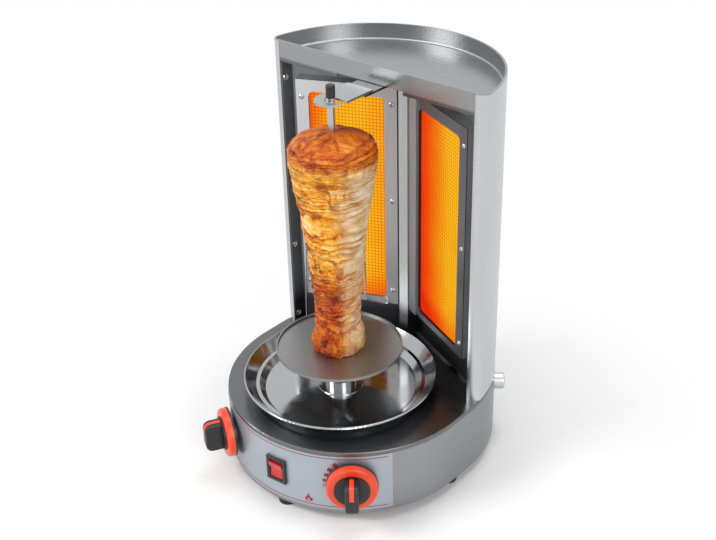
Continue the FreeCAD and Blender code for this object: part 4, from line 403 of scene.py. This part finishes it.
# Finishes of the pieces that keep their CAD shape
FINISHES = {
    SHELL_STEEL: ("back_shell",),
    DRUM_STEEL: ("base_drum",),
    DECK_STEEL: ("base_deck", "drive_socket"),
    TRAY_STEEL: ("top_tray",),
    WALL_STEEL: ("heat_wall",),
    POST_STEEL: ("centre_post",),
    FRAME_STEEL: ("burner_frame_left", "burner_box_left", "burner_box_right"),
    SHADED_FRAME_STEEL: ("burner_frame_right",),
    TURNED_STEEL: ("spit_disc", "spit_hub"),
    ROD_STEEL: ("spit_rod",),
    SHADED_ARM_STEEL: ("support_arm",),
    NOSE_STEEL: ("arm_nose",),
    BOWL_STEEL: ("drip_bowl", "bowl_collar", "spit_collar", "hub_thumb_screw"),
    ZINC: ("wall_screws", "frame_screws", "foot_screws", "motor_screws", "arm_rivet", "arm_washer",
           "gas_inlet", "motor_shaft"),
    GALVANISED: ("bottom_plate", "gas_manifold", "gear_motor", "motor_bracket", "mixer_tubes"),
    BRASS: ("burner_injectors", "deck_bush", "gas_valve_left", "gas_valve_right", "valve_plug_left",
            "valve_plug_right", "valve_spindle_left", "valve_spindle_right"),
    ALUMINIUM: ("gas_pipes",),
    BLACK_PLASTIC: ("knob_left", "knob_right", "knob_bezels", "switch_body", "cord_gland", "spit_grip"),
    RED_PLASTIC: ("knob_ring_left", "knob_ring_right"),
    ROCKER_RED: ("switch_rocker",),
    RUBBER: ("rubber_feet",),
    WHITE_PLASTIC: ("terminal_block",),
    FIBRE: ("plate_gaskets",),
    PANEL: ("control_panel",),
}
for finish, names in FINISHES.items():
    for name in names:
        NODES[name].data.materials.clear()
        NODES[name].data.materials.append(finish)


# Glowing ceramic plates

PLATE_SIZE = (92.0, 132.0)
PLATE_SET = 3.5
PLATE_THICK = 13.0
CELL = 4.0
CELL_WEB = 1.1
CELL_DEEP = 1.1


def make_plate(sign, side, level):
    """One ceramic plate, its face a grid of small square pits between thin webs."""
    node = f"ceramic_plate_{level}_{side}"
    low_corner, high_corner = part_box(node)
    low = low_corner.z / MM
    near = (BURNER_NEAR + BURNER_FAR) / 2 - PLATE_SIZE[0] / 2
    columns, rows = round(PLATE_SIZE[0] / CELL), round(PLATE_SIZE[1] / CELL)
    wide, high = PLATE_SIZE[0] / columns, (high_corner.z - low_corner.z) / MM / rows
    points, faces, pits = [], [], []
    for row in range(rows):
        for column in range(columns):
            start = len(points)
            for inset, depth in ((0.0, 0.0), (CELL_WEB / 2, 0.0), (CELL_WEB * 0.75, CELL_DEEP)):
                for across, up in SQUARE:
                    along = near + (column + across) * wide + (inset if across == 0 else -inset)
                    height = low + (row + up) * high + (inset if up == 0 else -inset)
                    points.append(burner_point(sign, along, height, -PLATE_SET - depth))
            for ring in (0, 4):
                for corner in range(4):
                    nearer, further = start + ring + corner, start + ring + (corner + 1) % 4
                    faces.append([nearer, further, further + 4, nearer + 4])
                    pits.append(ring == 4)
            faces.append([start + 8, start + 9, start + 10, start + 11])
            pits.append(True)
    start = len(points)
    for depth in (PLATE_SET, PLATE_SET + PLATE_THICK):
        for across, up in SQUARE:
            points.append(burner_point(
                sign, near + across * PLATE_SIZE[0], low + up * rows * high, -depth))
    for corner in range(4):
        nearer, further = start + corner, start + (corner + 1) % 4
        faces.append([nearer, nearer + 4, further + 4, further])
        pits.append(False)
    faces.append([start + 7, start + 6, start + 5, start + 4])
    pits.append(False)
    if sign < 0:
        faces = [face[::-1] for face in faces]
    pit_glow, web_glow = GLOW[sign]
    plate = add_piece(f"pitted_plate_{level}_{side}", points, faces, pit_glow, "housing", smooth=False)
    plate.data.materials.append(web_glow)
    for polygon, pit in zip(plate.data.polygons, pits):
        polygon.material_index = 0 if pit else 1
    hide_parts(node)


GLOW = {
    sign: (glowing_ceramic(sign, f"glowing_ceramic_pits_{side}", PIT_HEAT),
           glowing_ceramic(sign, f"glowing_ceramic_webs_{side}", WEB_HEAT))
    for side, sign in SIDES
}
for side, sign in SIDES:
    for level in ("lower", "upper"):
        make_plate(sign, side, level)


# Meat on the spit

MEAT_OUTLINE = (
    (146.9, 26.5), (149, 28.6), (156, 30.3), (163, 29.5), (169.5, 27.4), (176, 25.6), (189, 25.0),
    (202, 25.4), (215, 26.0), (228, 27.2), (241, 28.4), (253, 29.6), (266, 30.7), (278, 31.9),
    (290, 33.3), (302, 35.0), (314, 36.6), (326, 38.5), (338, 40.6), (349.5, 42.4), (358, 43.8),
    (367, 45.2), (373, 46.3), (379, 47.2),
    (385, 47.2), (391, 45.6), (396, 42.0), (400.5, 35.0), (404, 25.0), (407, 13.0), (408.6, 4.2),
)
MEAT_LOW, MEAT_TOP = MEAT_OUTLINE[0][0], MEAT_OUTLINE[-1][0]
MEAT_AROUND, MEAT_UP = 200, 380
MEAT_WIDEST = (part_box("meat_stack")[1].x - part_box("meat_stack")[0].x) / 2 / MM


def clamp(value):
    return max(0.0, min(1.0, value))


def wobble(*place):
    """Smooth noise between -1 and 1 at a place."""
    return noise.noise(Vector(place))


def outline_radius(share):
    """Height and radius at a share of the outline's length, from the disc to the top."""
    place = share * (len(MEAT_OUTLINE) - 1)
    row = min(int(place), len(MEAT_OUTLINE) - 2)
    part = place - row
    (low, near), (high, far) = MEAT_OUTLINE[row], MEAT_OUTLINE[row + 1]
    return low + (high - low) * part, near + (far - near) * part


# Heights in mm, and how pale the right side is there, partly real lighter roast and partly painted light
PALE_SHARE = ((147, 0.3), (190, 0.48), (238, 0.6), (268, 0.94), (366, 0.94), (384, 0.0))


def pale_share(height):
    """How pale the right side is at a height in mm, partly real lighter roast and partly painted light.
    """
    for (low, below), (high, above) in zip(PALE_SHARE, PALE_SHARE[1:]):
        if height <= high:
            return below + (above - below) * max(0.0, (height - low) / (high - low))
    return PALE_SHARE[-1][1]


def make_meat():
    """A tall stack of thin slices, each with its own edge, slump and browning."""
    lengths = [0.0]
    for (low, near), (high, far) in zip(MEAT_OUTLINE, MEAT_OUTLINE[1:]):
        lengths.append(lengths[-1] + math.hypot(high - low, far - near))
    total = lengths[-1]
    points, tones, pales, crusts, roasts = [], [], [], [], []
    for row in range(MEAT_UP + 1):
        travelled = total * row / MEAT_UP
        piece = max(index for index, length in enumerate(lengths[:-1]) if length <= travelled)
        part = (travelled - lengths[piece]) / (lengths[piece + 1] - lengths[piece])
        height, radius = outline_radius((piece + part) / (len(MEAT_OUTLINE) - 1))
        lump = min(1.0, radius / 24)
        for step in range(MEAT_AROUND):
            turn = 2 * math.pi * step / MEAT_AROUND
            x, y = math.cos(turn), math.sin(turn)
            bearing = math.degrees(math.atan2(x, -y))
            # The right side is smoother and less charred, its lighter colour partly real and partly
            # painted light
            far_edge = clamp((150 - bearing) / 25)
            side = clamp((bearing - 50) / 14) * far_edge
            sway = (
                (7.0 - 3.0 * side) * wobble(x * 1.2, y * 1.2, height / 40)
                + (5.0 - 3.6 * side) * wobble(x * 3.2, y * 3.2, height / 12)
                + 2.2 * (1 - side) * wobble(x * 9, y * 9, height / 7))
            layer = (height + sway - 2.5 * side) / (9.4 + 1.8 * math.sin(height / 23))
            number = math.floor(layer)
            part = layer - number
            edge = wobble(x * 1.6 + number * 7.3, y * 1.6, number * 3.1)
            ragged = wobble(x * 6 + number * 2.7, y * 6, number * 5.9)
            bulge = 1 - abs(2 * part - 1) ** 2.2
            fine = noise.fractal(Vector((x * radius / 6, y * radius / 6, height / 6)), 1.0, 2.0, 3)
            out = radius + lump * (
                1.2 * edge + 1.3 * ragged * (1 - 0.5 * side) + 2.0 * (bulge - 0.75) + 0.8 * fine)
            out = min(out, MEAT_WIDEST)
            drop = lump * 0.8 * edge
            high = max(MEAT_LOW, min(height + drop, MEAT_TOP))
            points.append(Vector((SPIT.x + out * x * MM, SPIT.y + out * y * MM, high * MM)))
            tones.append(0.5 + 0.34 * wobble(x * 1.6 + number * 3.7, y * 1.6, number * 9.1)
                         + 0.2 * (bulge - 0.6))
            # Where golden turns to pale wanders from slice to slice
            stray = (13.0 * wobble(number * 1.7, 4.3, height / 11)
                     + 9.0 * wobble(x * 4, y * 4, height / 5))
            # Paler towards the right: partly real lighter roast, partly painted light
            turned_right = clamp((bearing + stray - 42) / 30) * far_edge
            pales.append(turned_right * pale_share(height))
            gap = max(0.0, 1 - bulge * 2.6)
            charred = max(0.0, edge + 0.5 * ragged - 0.32) * 1.4 * (1 - side * 0.8)
            band = (math.exp(-((height - 226) / 7) ** 2) * (1 - side) * 0.7
                    * max(0.0, 0.5 + 1.5 * ragged))
            crust = gap * (0.22 + 0.6 * ragged) * (1 - 0.2 * side) + charred * 0.8 + band
            crusts.append(max(0.0, min(0.85, crust)))
            roasts.append(clamp((262 - height) / 26) * (1 - 0.6 * side)
                          + 0.9 * clamp((height - 376) / 14))
    faces = []
    for row in range(MEAT_UP):
        for step in range(MEAT_AROUND):
            after = (step + 1) % MEAT_AROUND
            faces.append([row * MEAT_AROUND + step, row * MEAT_AROUND + after,
                          (row + 1) * MEAT_AROUND + after, (row + 1) * MEAT_AROUND + step])
    foot = len(points)
    points.append(Vector((SPIT.x, SPIT.y, MEAT_LOW * MM)))
    crown = len(points)
    points.append(Vector((SPIT.x, SPIT.y, (MEAT_TOP + 0.1) * MM)))
    last = MEAT_UP * MEAT_AROUND
    for step in range(MEAT_AROUND):
        after = (step + 1) % MEAT_AROUND
        faces.append([foot, after, step])
        faces.append([crown, last + step, last + after])
    meat = add_piece("sliced_meat", points, faces, MEAT, "spit", sharp=180)
    for name, values in (
            ("slice_tone", tones), ("pale_side", pales), ("crust", crusts), ("roast", roasts)):
        attribute = meat.data.attributes.new(name, "FLOAT", "POINT")
        attribute.data.foreach_set("value", values + [0.5 if name == "slice_tone" else 0.0] * 2)
    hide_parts("meat_stack")


make_meat()


# Screw heads with a cross recess

def pan_head(centre, outward, radius, rise, turn):
    """Points and faces of a domed head with a cross cut in it."""
    side = outward.orthogonal().normalized()
    other = outward.cross(side)
    rings, steps = 7, 32
    slot, span = radius * 0.16, radius * 0.66
    points = []
    for ring in range(rings + 1):
        reach = radius * (1 - ring / rings)
        dome = rise * (1 - (reach / radius) ** 2.6) * 0.65 + rise * 0.35
        for step in range(steps):
            angle = 2 * math.pi * step / steps
            x, y = reach * math.cos(angle + turn), reach * math.sin(angle + turn)
            cross = min(abs(x), abs(y)) < slot and reach < span
            points.append(centre + (
                side * reach * math.cos(angle) + other * reach * math.sin(angle)
                + outward * (dome - (rise * 0.5 if cross else 0))) * MM)
    faces = []
    for ring in range(rings):
        for step in range(steps):
            after = (step + 1) % steps
            faces.append([ring * steps + step, ring * steps + after, (ring + 1) * steps + after,
                          (ring + 1) * steps + step])
    base = len(points)
    for step in range(steps):
        angle = 2 * math.pi * step / steps
        points.append(centre + (side * math.cos(angle) + other * math.sin(angle)) * radius * MM)
    for step in range(steps):
        after = (step + 1) % steps
        faces.append([base + step, base + after, after, step])
    return points, faces


def burner_normal(sign):
    return Vector((-sign * math.sin(VEE_ANGLE), -math.cos(VEE_ANGLE), 0))


def add_heads(name, heads, replaced=None):
    """Several screw heads as one piece, in place of a node's screws where the part has them."""
    item = add_piece(name, *join_up(heads), ZINC, "housing", sharp=50)
    if replaced:
        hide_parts(replaced)


FRAME_SCREWS_ALONG, FRAME_SCREWS_HIGH = (18.2, 122.7), (157.5, 276.5, 395.5)
add_heads("burner_screw_heads", [
    pan_head(burner_point(sign, along, height), burner_normal(sign), radius=3.0, rise=1.7,
             turn=0.4 + along * 0.1 + height * 0.03)
    for sign in (-1, 1) for along in FRAME_SCREWS_ALONG for height in FRAME_SCREWS_HIGH
], "frame_screws")

LIP_SCREW_X, LIP_SCREW_Y = 130.6, FLANGE_Y + STEEL + 5
LIP_SCREWS_HIGH = (106.0, 203.0, 416.0)
add_heads("lip_screw_heads", [
    pan_head(Vector((sign * LIP_SCREW_X * MM, SPIT.y + LIP_SCREW_Y * MM, height * MM)),
             Vector((-sign, 0, 0)), radius=4.0, rise=2.2, turn=height * 0.1)
    for sign in (-1, 1) for height in LIP_SCREWS_HIGH
], "wall_screws")

# Screws of the burners' flanges, on the wall above and below them: side, along the burner, height
FLANGE_SCREWS = (
    (-1, 41, 421.5), (-1, 96, 421.5), (-1, 22.4, 133), (-1, 121, 133),
    (1, 59, 421.5), (1, 102, 421.5), (1, 22.4, 133), (1, 121, 133),
)
add_heads("flange_screw_heads", [
    pan_head(burner_point(sign, along, height, -WALL_SET), burner_normal(sign), radius=2.7, rise=1.8,
             turn=0.1 * along)
    for sign, along, height in FLANGE_SCREWS
])


# Wire guard, the post's flange and the tray's pressed fold

def wire(name, path, radius, finish):
    """A bent wire through those points, its bends rounded by the spline."""
    curve = bpy.data.curves.new(name, "CURVE")
    curve.dimensions = "3D"
    curve.bevel_depth, curve.bevel_resolution, curve.resolution_u = radius * MM, 4, 8
    curve.use_fill_caps = True
    spline = curve.splines.new("NURBS")
    spline.points.add(len(path) - 1)
    for point, place in zip(spline.points, path):
        point.co = (*place, 1.0)
    spline.order_u = 3
    spline.use_endpoint_u = True
    bent = bpy.data.objects.new(name, curve)
    bpy.context.scene.collection.objects.link(bent)
    mesh = bpy.data.meshes.new_from_object(bent.evaluated_get(bpy.context.evaluated_depsgraph_get()))
    bpy.data.objects.remove(bent)
    mesh.name = name
    mesh.materials.clear()
    mesh.materials.append(finish)
    mesh.shade_smooth()
    item = bpy.data.objects.new(name, mesh)
    bpy.context.scene.collection.objects.link(item)
    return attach(item, "housing")


# The guard hooks into the foot of the left burner's frame and stands on the deck. Each bend is given
# by its distance along the burner, its height and how far it stands before the frame
GUARD = (
    (26.0, 149.5, -0.4), (26.5, 148.5, 2.4), (22.5, 143.5, 2.6), (24.0, 139.0, 2.6), (38.0, 140.0, 2.6),
    (46.0, 141.0, 2.6), (53.0, 142.5, 2.8), (52.0, 149.0, 3.0), (51.6, 160.0, 3.0), (52.2, 202.0, 3.0),
    (52.6, 212.0, 3.0), (62.0, 216.0, 3.0), (90.0, 216.0, 3.0), (116.0, 216.0, 3.0),
    (124.5, 212.0, 3.0), (125.2, 202.0, 3.0), (126.8, 165.0, 3.0), (129.0, 112.0, 1.0),
    (129.4, 98.4, 0.0), (123.0, 97.2, 0.0), (100.0, 97.2, 0.0), (84.0, 97.2, 0.0),
)
GUARD_RADIUS = 1.0
guard = wire("left_wire_guard", [burner_point(-1, *place) for place in GUARD], GUARD_RADIUS, ROD_STEEL)


def make_post_flange():
    """The post's folded flange, which laps over the right burner's frame and its inner screws."""
    near, far, fold = 6.4, 24.0, 23.4
    back, inner, skin, proud = 0.05, 1.9, 2.2, 2.8
    section = (
        (near, back), (near, proud), (fold, proud), (far, skin), (far, back), (far - 1, back),
        (far - 1, inner), (near + 1, inner), (near + 1, back),
    )
    ends = (BURNER_LOW + SEAM, BURNER_HIGH - SEAM)
    points = [burner_point(1, along, height, out) for height in ends for along, out in section]
    count = len(section)
    faces = [list(range(count)), list(range(count, 2 * count))[::-1]]
    for step in range(count):
        after = (step + 1) % count
        faces.append([step, step + count, after + count, after])
    flange = add_piece("post_flange", points, faces, POST_STEEL, "housing", smooth=False)


make_post_flange()


def tray_foot():
    """Places round the foot of the tray's wall in mm, each with the direction out of the tray there."""
    hair = 0.02
    reach = CASING_RADIUS - STEEL - SEAM - TRAY_SHEET - hair
    bend = reach - (CASING_RADIUS - CORNER_RADIUS)
    lean = math.atan2(CORNER_Y - REAR_ARC_Y, CORNER_X)
    stretches = (
        (0.0, REAR_ARC_Y, reach, lean, math.pi - lean, 96),
        (-CORNER_X, CORNER_Y, bend, math.pi - lean, math.pi * 1.5, 12),
        (CORNER_X, CORNER_Y, bend, -math.pi / 2, lean, 12),
    )
    for x, y, radius, start, stop, steps in stretches:
        for step in range(steps):
            turn = start + (stop - start) * (step + 0.5) / steps
            outward = Vector((math.cos(turn), math.sin(turn), 0))
            yield Vector((x, y, 0)) + outward * radius, outward


def make_tray_fold():
    """The small fillet that pressing leaves inside the foot of the tray's wall, a thin bright line."""
    points, faces = [], []
    round_in, bends = 1.8, 5
    base = Vector((0, SPIT.y, TRAY_FLOOR * MM))
    places = list(tray_foot())
    for place, outward in places:
        points.append(base + place * MM)
        for bend in range(bends + 1):
            lean = math.pi / 2 * bend / bends
            inward = place - outward * round_in * (1 - math.sin(lean))
            points.append(base + (inward + Vector((0, 0, round_in * (1 - math.cos(lean))))) * MM)
    row = bends + 2
    for step in range(len(places)):
        this, following = step * row, (step + 1) % len(places) * row
        for corner in range(row):
            after = (corner + 1) % row
            faces.append([this + corner, this + after, following + after, following + corner])
    fold = add_piece("tray_wall_fold", points, faces, FOLD_STEEL, "housing", sharp=30)


make_tray_fold()


# Print on the control panel

# How far the ink's two skins lie out from the panel, in mm
INK_BACK, INK_SKIN = 0.02, 0.10


def print_patch(name, outline, ink):
    """A thin layer of ink on the drum's front, its outline given by angles and heights."""
    points = [on_panel(angle, height, out) for out in (INK_BACK, INK_SKIN) for angle, height in outline]
    count = len(outline)
    faces = [list(range(count))[::-1], list(range(count, 2 * count))]
    for step in range(count):
        after = (step + 1) % count
        faces.append([step, after, after + count, step + count])
    return add_piece(name, points, faces, ink, "housing", smooth=False)


def print_line(name, start, stop, low, high, ink):
    """A level line of ink round the drum's front."""
    steps = 72
    angles = [start + (stop - start) * step / steps for step in range(steps + 1)]
    points, faces = [], []
    for angle in angles:
        for height, out in ((low, INK_BACK), (low, INK_SKIN), (high, INK_SKIN), (high, INK_BACK)):
            points.append(on_panel(angle, height, out))
    for step in range(steps):
        for corner in range(4):
            after = (corner + 1) % 4
            this, following = step * 4, step * 4 + 4
            faces.append([this + corner, this + after, following + after, following + corner])
    faces += [[0, 3, 2, 1], [steps * 4, steps * 4 + 1, steps * 4 + 2, steps * 4 + 3]]
    return add_piece(name, points, faces, ink, "housing", smooth=False)


LINE_HALF = 50
for name, low, high in (("panel_line_top", 85.4, 86.4), ("panel_line_foot", 19.4, 20.4)):
    print_line(name, CONTROLS_TURN - LINE_HALF, CONTROLS_TURN + LINE_HALF, low, high, RED_INK)


def flame_mark(middle, foot, tall):
    """A flame with a curl in it, the usual mark beside a gas knob."""
    shape = (
        (0.0, 0.0), (0.30, 0.02), (0.48, 0.16), (0.50, 0.36), (0.36, 0.56), (0.26, 0.40),
        (0.20, 0.62), (0.04, 0.82), (0.06, 1.0), (-0.14, 0.84), (-0.18, 0.62), (-0.34, 0.50),
        (-0.46, 0.34), (-0.44, 0.14), (-0.26, 0.02), (-0.02, 0.0), (-0.16, 0.16), (-0.14, 0.30),
        (0.0, 0.44), (0.06, 0.26), (0.18, 0.16),
    )
    to_angle = math.degrees(tall * 0.86 * MM / PANEL_RADIUS)
    return [(middle + x * to_angle, foot + y * tall) for x, y in shape]


print_patch("flame_mark", flame_mark(20.4, 23.0, 11.0), RED_INK)

# Marks that grow round the right knob: angle on the drum, height, lean and size
SCALE_MARKS = (
    (27.6, 49.0, 58, 0.8), (27.8, 56.0, 72, 0.95), (28.7, 63.5, 88, 1.1), (30.3, 71.0, 108, 1.25),
    (32.8, 77.4, 128, 1.4),
)
MARK = ((-2.1, -2.0), (2.1, -2.0), (2.1, 2.0), (-2.1, 2.0))
for index, (middle, height, lean, size) in enumerate(SCALE_MARKS):
    ink = GREY_INK if index == 0 else RED_INK
    tilt = math.radians(lean)
    corners = []
    for along, across in MARK:
        x = size * (along * math.sin(tilt) - across * math.cos(tilt))
        z = size * (along * math.cos(tilt) + across * math.sin(tilt))
        corners.append((middle + math.degrees(x * MM / PANEL_RADIUS), height + z))
    print_patch(f"scale_mark_{index}", corners, ink)


# Red pointers let into the knobs' grips

KNOB_Z = 55.0
KNOB_GAP, KNOB_CORE_HIGH, KNOB_REACH = 4.5, 12.0, 31.5
KNOB_CORE_OUT = CASING_RADIUS + KNOB_GAP + KNOB_CORE_HIGH
KNOB_TIP = CASING_RADIUS + KNOB_GAP + KNOB_REACH


def make_pointer(side, angle):
    """A red strip over the grip's upper end and down its front."""
    turn = math.radians(angle)
    outward = Vector((math.sin(turn), -math.cos(turn), 0))
    across = Vector((math.cos(turn), math.sin(turn), 0))
    top, corner, half, root, skin = 17.5, 8.0, 2.4, -0.6, 0.25
    path = [(KNOB_CORE_OUT, top)]
    for step in range(9):
        bend = math.pi / 2 * step / 8
        path.append((
            KNOB_TIP - corner + corner * math.sin(bend), top - corner + corner * math.cos(bend)))
    path.append((KNOB_TIP, 3.0))
    middle = (KNOB_CORE_OUT, 0.0)
    points = []
    for out, up in path:
        away = Vector((out - middle[0], up - middle[1])).normalized()
        for lift in (root, skin):
            for x in (-half, half):
                points.append(FRONT_ARC + (outward * (out + away.x * lift) + across * x) * MM
                              + Vector((0, 0, (KNOB_Z + up + away.y * lift) * MM)))
    faces = []
    for step in range(len(path) - 1):
        for a, b in ((0, 1), (1, 3), (3, 2), (2, 0)):
            faces.append([step * 4 + a, step * 4 + b, step * 4 + 4 + b, step * 4 + 4 + a])
    end = (len(path) - 1) * 4
    faces += [[0, 2, 3, 1], [end, end + 1, end + 3, end + 2]]
    strip = add_piece(f"knob_pointer_{side}", points, faces, RED_PLASTIC, f"dial_{side}", sharp=30)


for side, sign in SIDES:
    make_pointer(side, CONTROLS_TURN + sign * KNOB_SPREAD)


# Studio

def make_floor():
    """White paper under the object, which keeps its shadow and runs out into plain white."""
    finish, shader = new_finish("pale_studio_floor", Roughness=0.9, Base_Color=linear("#FCFCFC"))
    shader.inputs["Specular IOR Level"].default_value = 0.0
    place = add(finish, "TexCoord").outputs["Object"]
    away = add(finish, "VectorMath", {0: place}, operation="LENGTH")
    far = add(finish, "MapRange", {
        "Value": away.outputs["Value"], "From Min": 0.18, "From Max": 0.45},
        interpolation_type="SMOOTHSTEP")
    rays = add(finish, "LightPath")
    seen = add(finish, "Math", {
        0: rays.outputs["Is Camera Ray"], 1: rays.outputs["Is Glossy Ray"]}, operation="MAXIMUM")
    share = add(finish, "Math", {0: far.outputs["Result"], 1: seen.outputs[0]}, operation="MULTIPLY")
    white = add(finish, "Emission", {"Color": linear("#FFFFFF"), "Strength": 1.0})
    mixed = add(finish, "MixShader", {0: share.outputs[0], 1: shader.outputs[0], 2: white.outputs[0]})
    link(finish, mixed.outputs[0], finish.node_tree.nodes["Material Output"].inputs["Surface"])
    mesh = bpy.data.meshes.new("studio_floor")
    size = 9.0
    corners = [((2 * x - 1) * size, (2 * y - 1) * size, 0) for x, y in SQUARE]
    mesh.from_pydata(corners, [], [[0, 1, 2, 3]])
    mesh.materials.append(finish)
    floor = bpy.data.objects.new("studio_floor", mesh)
    bpy.context.scene.collection.objects.link(floor)


def make_world(level):
    """White where the camera and reflections see it, and a plainer light on the object."""
    world = bpy.data.worlds.new("studio")
    bpy.context.scene.world = world
    world.use_nodes = True
    sky = world.node_tree.nodes["Background"]
    rays = add(world, "LightPath")
    seen = add(world, "Math", {
        0: rays.outputs["Is Camera Ray"], 1: rays.outputs["Is Glossy Ray"]}, operation="ADD")
    through = add(world, "Math", {
        0: seen.outputs[0], 1: rays.outputs["Is Transmission Ray"]}, operation="ADD")
    through.use_clamp = True
    strength = add(world, "MapRange", {"Value": through.outputs[0], "To Min": level, "To Max": 1.0})
    sky.inputs["Color"].default_value = linear("#FFFFFF")
    link(world, strength.outputs["Result"], sky.inputs["Strength"])


def soft_lamp(name, place, aim, size, watts):
    """A square softbox."""
    lamp = bpy.data.lights.new(name, "AREA")
    lamp.shape = "RECTANGLE"
    lamp.size, lamp.size_y, lamp.energy = size[0], size[1], watts
    item = bpy.data.objects.new(name, lamp)
    item.location = place
    item.rotation_euler = (Vector(aim) - Vector(place)).to_track_quat("-Z", "Y").to_euler()
    bpy.context.scene.collection.objects.link(item)


# The camera that fits the photograph: its angles, its place in metres and its focal length in pixels
CAMERA_ANGLES = (41.08, 29.90, -1.4845)
CAMERA_PLACE = (0.7458, -0.8514, 0.8813)
FOCAL_PIXELS, IMAGE_WIDTH = 1173, 716
SENSOR_WIDTH = 36.0


def make_camera():
    """The photograph's view: from the front right, about 30 degrees down."""
    azimuth, elevation, roll = (math.radians(angle) for angle in CAMERA_ANGLES)
    forward = Vector((-math.sin(azimuth) * math.cos(elevation), math.cos(azimuth) * math.cos(elevation),
                      -math.sin(elevation)))
    level = Vector((math.cos(azimuth), math.sin(azimuth), 0))
    upright = level.cross(forward)
    across = level * math.cos(roll) + upright * math.sin(roll)
    up = upright * math.cos(roll) - level * math.sin(roll)
    lens = bpy.data.cameras.new("camera")
    lens.sensor_width = SENSOR_WIDTH
    lens.lens = SENSOR_WIDTH * FOCAL_PIXELS / IMAGE_WIDTH
    camera = bpy.data.objects.new("camera", lens)
    turn = Matrix((across, up, -forward)).transposed().to_4x4()
    camera.matrix_world = Matrix.Translation(CAMERA_PLACE) @ turn
    bpy.context.scene.collection.objects.link(camera)
    bpy.context.scene.camera = camera


make_floor()
make_world(0.45)
soft_lamp("key_softbox", (-1.1, -1.7, 1.7), (0, 0, 0.2), (1.1, 1.1), 34)
soft_lamp("fill_softbox", (1.9, -0.9, 1.2), (0, 0, 0.25), (0.9, 1.3), 16)
soft_lamp("top_softbox", (0.1, 0.5, 2.2), (0, 0, 0.3), (1.0, 1.0), 14)
make_camera()
bpy.context.scene.view_settings.view_transform = "Standard"
